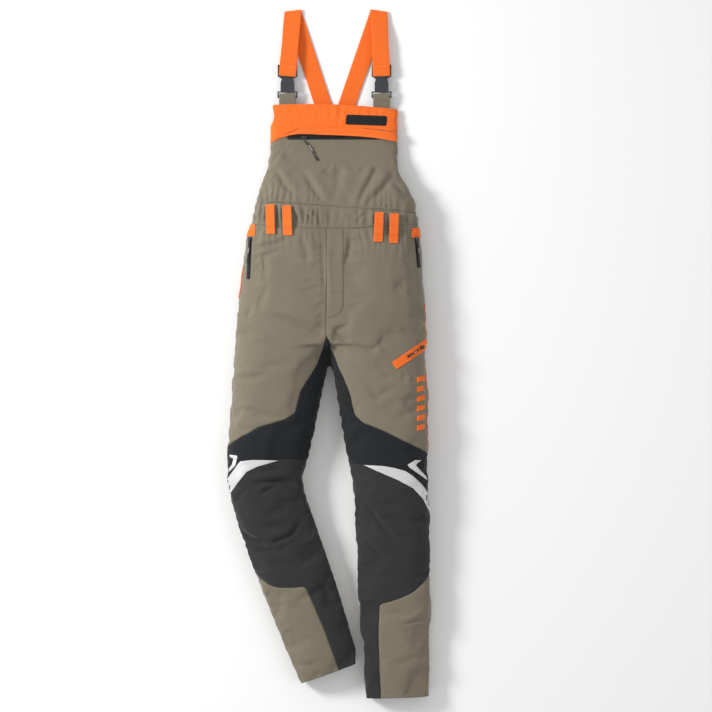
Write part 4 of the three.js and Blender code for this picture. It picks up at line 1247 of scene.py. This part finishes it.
lay("thigh_pocket_welt_cloth", [along_welt(0, -9.5), along_welt(94, -9.5), along_welt(94, 9.5), along_welt(0, 9.5)],
    "orange_cloth", "thigh_pocket_welt", replaced=True, thickness=1.2 * MM)
for side in (-7.5, 7.5):
    stitch_line("thigh_pocket_welt", "orange_thread", flat_line([along_welt(t, side) for t in range(2, 94, 10)]),
                lift=1.5 * MM)
stitch_line("thigh_pocket_welt", "orange_thread", flat_line([along_welt(2, -8), along_welt(2, 8)]), lift=1.5 * MM)

# ------------------------------------------------------------------ flashes, chevrons and plain marks

FLASHES = {
    "right": [(-110, -233.5), (-154.6, -246), (-179, -258), (-199, -283), (-213, -303), (-221, -316),
              (-228, -292), (-223, -276), (-201.6, -246), (-193, -235), (-164.5, -231.5), (-140, -232)],
    "left": [(81, -243), (112, -257), (158, -277), (191, -295), (212, -318), (226, -347), (231, -345), (230, -315),
             (209, -286), (190, -267), (173, -256), (148, -249), (123, -245)],
}
CHEVRONS = {
    "right": [(-217.5, -220.9), (-216.5, -226), (-208.5, -229.5), (-211.5, -242), (-222, -256), (-220, -260.5),
              (-204.5, -245), (-199.5, -226.4), (-200.5, -222.4)],
    "left": [(209.2, -233.3), (194.4, -232.3), (178, -242.2), (182, -248.2), (194.4, -257), (222.6, -277.9),
             (219.1, -268.9), (205.8, -254.1), (196.5, -244.2), (199.8, -239)],
}
for side in ("right", "left"):
    lay(f"{side}_knee_flash_tape", FLASHES[side], "reflective_tape", f"{side}_knee_flash", replaced=True,
        thickness=0.6 * MM, rounding=0.1 * MM, lift=0.4 * MM)
    lay(f"{side}_knee_chevron", CHEVRONS[side], "reflective_tape", f"{side}_inner_thigh", thickness=0.5 * MM,
        rounding=0.1 * MM, lift=0.4 * MM)

LABEL = [(40, 520), (43, 517.5), (129, 514.5), (132, 517), (133.5, 534), (131, 537), (45, 540), (42, 537.5)]
lay("bib_plain_label", LABEL, "black_stretch", "bib_yoke", thickness=0.7 * MM, lift=YOKE_LIFT + 0.2 * MM)
for start, end in (((44, 520.5), (129.5, 517.5)), ((45.5, 537), (130.5, 534))):
    steps = [(start[0] + (end[0] - start[0]) * t / 8, start[1] + (end[1] - start[1]) * t / 8) for t in range(9)]
    stitch_line("bib_yoke", "black_thread", flat_line(steps), lift=YOKE_LIFT + 0.95 * MM)
LOZENGES = 6
for i in range(LOZENGES):
    low = -168 + i * 21.5
    lay(f"thigh_lozenge_{i + 1}", [(199, low), (217, low + 5), (217, low + 17), (199, low + 12)], "orange_cloth",
        "left_front_thigh", thickness=0.35 * MM, rounding=0.0, lift=0.25 * MM)


def side_piping(name, side, low_y, high_y, host, width=7 * MM, height=34 * MM):
    """A narrow orange strip along the outer side seam."""
    steps = max(6, int((high_y - low_y) / 6))
    sections = []
    for i in range(steps + 1):
        y = (low_y + (high_y - low_y) * i / steps) * MM - ORIGIN.y
        direction = Vector((-side, 0, 0))
        low = skin.ray_cast(Vector((side * 0.5, y, height - width / 2)), direction)
        high = skin.ray_cast(Vector((side * 0.5, y, height + width / 2)), direction)
        if low[0] is None or high[0] is None:
            continue
        middle = (low[0] + high[0]) / 2 + (low[1] + high[1]).normalized() * 0.9 * MM
        sections.append((middle, (high[0] - low[0]) / 2 * side))
    obj, _ = strip(name, sections, width, "orange_webbing", columns=2, thickness=1.0 * MM, rounding=0.3 * MM)
    follow(obj, host)


side_piping("right_side_piping", -1, 128, 200, "right_front_thigh", width=11 * MM, height=40 * MM)
side_piping("left_side_piping_upper", 1, 44, 116, "left_front_thigh", height=38 * MM)
side_piping("left_side_piping_lower", 1, -214, -8, "left_front_thigh", height=38 * MM)

for side, x, end_y, lean in (("right", -172, 170, -4), ("left", 198, 196, 6)):
    centre = [(x + lean * t / 8, 262 + (end_y - 262) * t / 8) for t in range(9)]
    outline = [(px - 4, py) for px, py in centre] + [(px + 4, py) for px, py in reversed(centre)]
    lay(f"{side}_hip_zip_tape", outline, "black_stretch", f"{side}_front_thigh", thickness=0.4 * MM,
        lift=0.15 * MM, rounding=0.0)
    zip_teeth(f"{side}_hip_pocket_welt", row(centre), 0.8 * MM)

# ------------------------------------------------------------------ straps, tabs and buckles

STRAP_WIDTH = 38 * MM
STRAP_THICK = 1.8 * MM
FOLD_Z, BACK_Z = 3.6 * MM, 1.4 * MM
OVER_FRAME_Z = 17.6 * MM
STRAPS = {"right": {"x": -90, "top": -78, "back": -4.02}, "left": {"x": 121, "top": 115, "back": 37.02}}


def strap_sections(strap):
    """From the turned-up end, over the buckle's frame, over the fold and down to the back panel."""
    front = Vector((strap["x"], 628.5, 0)) * MM - ORIGIN
    fold = Vector((strap["top"], 773, 0)) * MM - ORIGIN
    back = Vector((strap["back"], 545.3, 0)) * MM - ORIGIN
    rise, fall = (fold - front).normalized(), (back - fold).normalized()
    fold_line = (rise + fall).normalized()
    if fold_line.x > 0:
        fold_line.negate()
    across = Vector((-rise.y, rise.x, 0))
    half = STRAP_WIDTH / 2
    length = (fold - front).length
    sections = []
    turned = (24, 18, 12, 6, 2)
    for distance in turned:
        sections.append((front + rise * distance * MM + UP * (OVER_FRAME_Z + 2.1 * MM), across * half))
    for angle in (60, 90, 120):
        lift = math.cos(math.radians(angle)) * 1.05 * MM
        out = math.sin(math.radians(angle)) * 1.2 * MM
        sections.append((front - rise * out + UP * (OVER_FRAME_Z + 1.05 * MM + lift), across * half))
    steps = 22
    for i in range(1, steps + 1):
        t = i / steps
        drop = float(smoothstep((t - 0.44) / 0.56))
        sag = drop * math.sin(math.pi * t) * 0.9 * MM
        height = OVER_FRAME_Z + (FOLD_Z + 2 * MM - OVER_FRAME_Z) * drop - sag
        mix = across.lerp(fold_line, t).normalized()
        sections.append((front + rise * length * t + UP * height, mix * half * (1 + 0.02 * math.sin(9 * t))))
    outward = Vector((fold_line.y, -fold_line.x, 0))
    for angle in (30, 60, 90, 120, 150, 180):
        a = math.radians(angle)
        centre = fold + UP * FOLD_Z
        sections.append((centre + outward * math.sin(a) * 1.9 * MM + UP * math.cos(a) * 1.9 * MM, fold_line * half))
    level = Vector((half / fall.y, 0, 0))
    run = (back - fold).length
    for i in range(1, steps + 1):
        t = i / steps
        place = fold + fall * run * t
        mix = fold_line * half * (1 - t) + level * t
        height = BACK_Z + 0.3 * MM + math.sin(math.pi * t) * 0.6 * MM
        sections.append((place + UP * height, mix))
    return sections, len(turned)


def make_strap(name, strap):
    sections, turned = strap_sections(strap)
    obj, cut = strip(f"{name}_strap_webbing", sections, STRAP_WIDTH, "orange_webbing", columns=8,
                     thickness=STRAP_THICK, rounding=0.4 * MM)
    host = f"{name}_strap"
    along = Vector((0, -1, 0))
    stitch_across(host, "orange_thread", sections[0][0] + along * 2 * MM, sections[0][1], along, 1.0 * MM)
    stitch_across(host, "orange_thread", sections[0][0] + along * 5 * MM, sections[0][1], along, 1.0 * MM)
    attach(obj, body_of[host])
    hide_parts(host)


TAB_LINE = [(539, 10.2), (552, 10.6), (566, 11.6), (578, 11.9), (584, 11.9), (586.6, 13.2), (587.4, 15.5),
            (586.8, 18.2), (584, 19.6), (579, 20), (572, 19.2), (563, 16.2), (553, 13.4), (539, 12.6)]


def make_tab(name, strap):
    """Webbing sewn behind the bib's top, up round the buckle's bar and back down."""
    half = Vector((STRAP_WIDTH / 2 - 0.4 * MM, 0, 0))
    line = rounded(TAB_LINE, 3)
    sections = [(Vector((strap["x"] * MM - ORIGIN.x, y * MM - ORIGIN.y, z * MM)), -half) for y, z in line]
    obj, cut = strip(f"{name}_buckle_tab_webbing", sections, 2 * half.x, "olive_webbing", columns=6,
                     thickness=1.4 * MM, rounding=0.3 * MM)
    host = f"{name}_buckle_tab"
    top = sections[-10]
    stitch_across(host, "olive_thread", top[0], -half, Vector((0, 1, 0)) * -1, 0.8 * MM)
    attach(obj, body_of[host])
    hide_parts(host)


for strap_name, strap_place in STRAPS.items():
    make_strap(strap_name, strap_place)
    make_tab(strap_name, strap_place)

SHARP = math.radians(25)


def rounded_copy(node, width, material=None):
    """A hard piece with its edges rounded off, in place of its plain node."""
    bm = bmesh.new()
    bm.from_mesh(frame["nodes"][node].data)
    bmesh.ops.remove_doubles(bm, verts=bm.verts, dist=0.01 * MM)
    bmesh.ops.dissolve_limit(bm, angle_limit=math.radians(1), verts=bm.verts, edges=bm.edges)
    edges = [e for e in bm.edges if len(e.link_faces) == 2 and e.calc_face_angle() > SHARP]
    bmesh.ops.bevel(bm, geom=edges, offset=width, segments=2, profile=0.5, affect="EDGES", clamp_overlap=True,
                    material=-1)
    obj = new_object(node + "_moulded", bm, material or slot_of[node], smooth=False)
    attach(obj, body_of[node])
    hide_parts(node)
    return obj


for side in ("right", "left"):
    for name in ("buckle_female", "buckle_male", "buckle_outer_arm", "buckle_inner_arm"):
        rounded_copy(f"{side}_{name}", 0.45 * MM)
for side, strap in STRAPS.items():
    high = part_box(f"{side}_buckle_female")[1]
    bm = bmesh.new()
    for turn in (-1, 1):
        place = Vector((strap["x"] * MM - ORIGIN.x + turn * 3.6 * MM, 0.608 - ORIGIN.y, high.z))
        matrix = Matrix.Translation(place) @ Matrix.Rotation(turn * math.radians(40), 4, "Z")
        bmesh.ops.create_cube(bm, size=1, matrix=matrix @ Matrix.Diagonal((11 * MM, 1.6 * MM, 0.8 * MM, 1)))
    mark = new_object(f"{side}_buckle_grip_mark", bm, "charcoal_plastic", smooth=False)
    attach(mark, body_of[f"{side}_buckle_female"])
SLIDERS = ["bib_zip_slider", "right_hip_zip_slider", "left_hip_zip_slider", "thigh_pocket_zip_slider",
           "fly_zip_slider"]
for name in SLIDERS:
    rounded_copy(name, 0.35 * MM)
rounded_copy("waist_button", 0.5 * MM)

# ------------------------------------------------------------------ zip pulls of cord


def tube(bm, points, radius):
    """A round cord through the points, added to a bmesh."""
    curve = bpy.data.curves.new("cord", "CURVE")
    curve.dimensions = "3D"
    curve.bevel_depth = radius
    curve.bevel_resolution = 2
    curve.use_fill_caps = True
    spline = curve.splines.new("POLY")
    spline.points.add(len(points) - 1)
    for point, place in zip(spline.points, points):
        point.co = (*place, 1)
    holder = bpy.data.objects.new("cord", curve)
    bpy.context.scene.collection.objects.link(holder)
    graph = bpy.context.evaluated_depsgraph_get()
    mesh = bpy.data.meshes.new_from_object(holder.evaluated_get(graph))
    bm.from_mesh(mesh)
    bpy.data.objects.remove(holder)
    bpy.data.meshes.remove(mesh)
    bpy.data.curves.remove(curve)


def cord_pull(node, slider, sway):
    """Two strands of cord from the slider to a moulded grip, with a light grey strand between them that is a painted
    highlight.
    """
    points = coordinates(frame["nodes"][node].data)
    centre = points.mean(axis=0)
    axes = np.linalg.svd(points - centre, full_matrices=False)[2]
    long, normal = Vector(axes[0]), Vector(axes[2])
    if normal.z < 0:
        normal.negate()
    low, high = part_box(slider)
    if (Vector(centre) - (low + high) / 2).dot(long) < 0:
        long.negate()
    reach = (points - centre) @ np.array(long)
    start = Vector(centre) + long * float(reach.min())
    length = float(np.ptp(reach))
    side = normal.cross(long).normalized()
    count = 12
    bm, glint_strand = bmesh.new(), bmesh.new()
    path = [start + long * (length - 11 * MM) * i / count + side * sway * math.sin(math.pi * i / count)
            for i in range(count + 1)]
    for p in path:
        place, _ = on_skin(p.x, p.y)
        p.z = max(p.z, place.z + 1.6 * MM)
    for share in (-1, 1):
        spread = [share * 1.15 * MM * min(1, 0.25 + 1.2 * math.sin(math.pi * min(i / count * 1.1, 1)))
                  for i in range(count + 1)]
        tube(bm, [p + side * s for p, s in zip(path, spread)], 0.75 * MM)
    # a light grey strand along the middle third of the cord, raised on its top: a painted highlight
    middle = path[count // 3:2 * count // 3 + 1]
    tube(glint_strand, [p + normal * 0.35 * MM for p in middle], 0.5 * MM)
    turn = Matrix((side, normal.cross(side) * -1, normal)).transposed().to_4x4()
    grip_place = path[-1] + long * 4.5 * MM
    frame_turn = Matrix((side, normal, long)).transposed().to_4x4()
    flatten = Matrix.Diagonal((1, 0.42, 1, 1))
    bmesh.ops.create_cone(bm, segments=14, radius1=1.9 * MM, radius2=2.6 * MM, depth=12 * MM, cap_ends=True,
                          matrix=Matrix.Translation(grip_place) @ frame_turn @ flatten)
    ends = [e for e in bm.edges if len(e.link_faces) == 2 and e.calc_face_angle() > math.radians(60)]
    bmesh.ops.bevel(bm, geom=ends, offset=0.5 * MM, segments=2, profile=0.5, affect="EDGES", clamp_overlap=True,
                    material=-1)
    bmesh.ops.recalc_face_normals(bm, faces=bm.faces)
    obj = new_object(node + "_cord", bm, "black_cord")
    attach(obj, body_of[node])
    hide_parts(node)
    # the painted highlight as its own object, moving with the pull
    glint_object = new_object(node + "_fleck", glint_strand, "white_fleck")
    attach(glint_object, body_of[node])


cord_pull("bib_zip_pull", "bib_zip_slider", 3 * MM)
cord_pull("right_hip_zip_pull", "right_hip_zip_slider", 1 * MM)
cord_pull("left_hip_zip_pull", "left_hip_zip_slider", 2 * MM)
cord_pull("thigh_pocket_zip_pull", "thigh_pocket_zip_slider", 1 * MM)

# ------------------------------------------------------------------ finish

for (host, material), bm in threads.items():
    dress(new_object(f"{host}_{material}", bm, material), host, replaced=False, thickness=0)

for node_name, node_object in frame["nodes"].items():
    node_object.data.materials.clear()
    node_object.data.materials.append(materials[slot_of[node_name]])
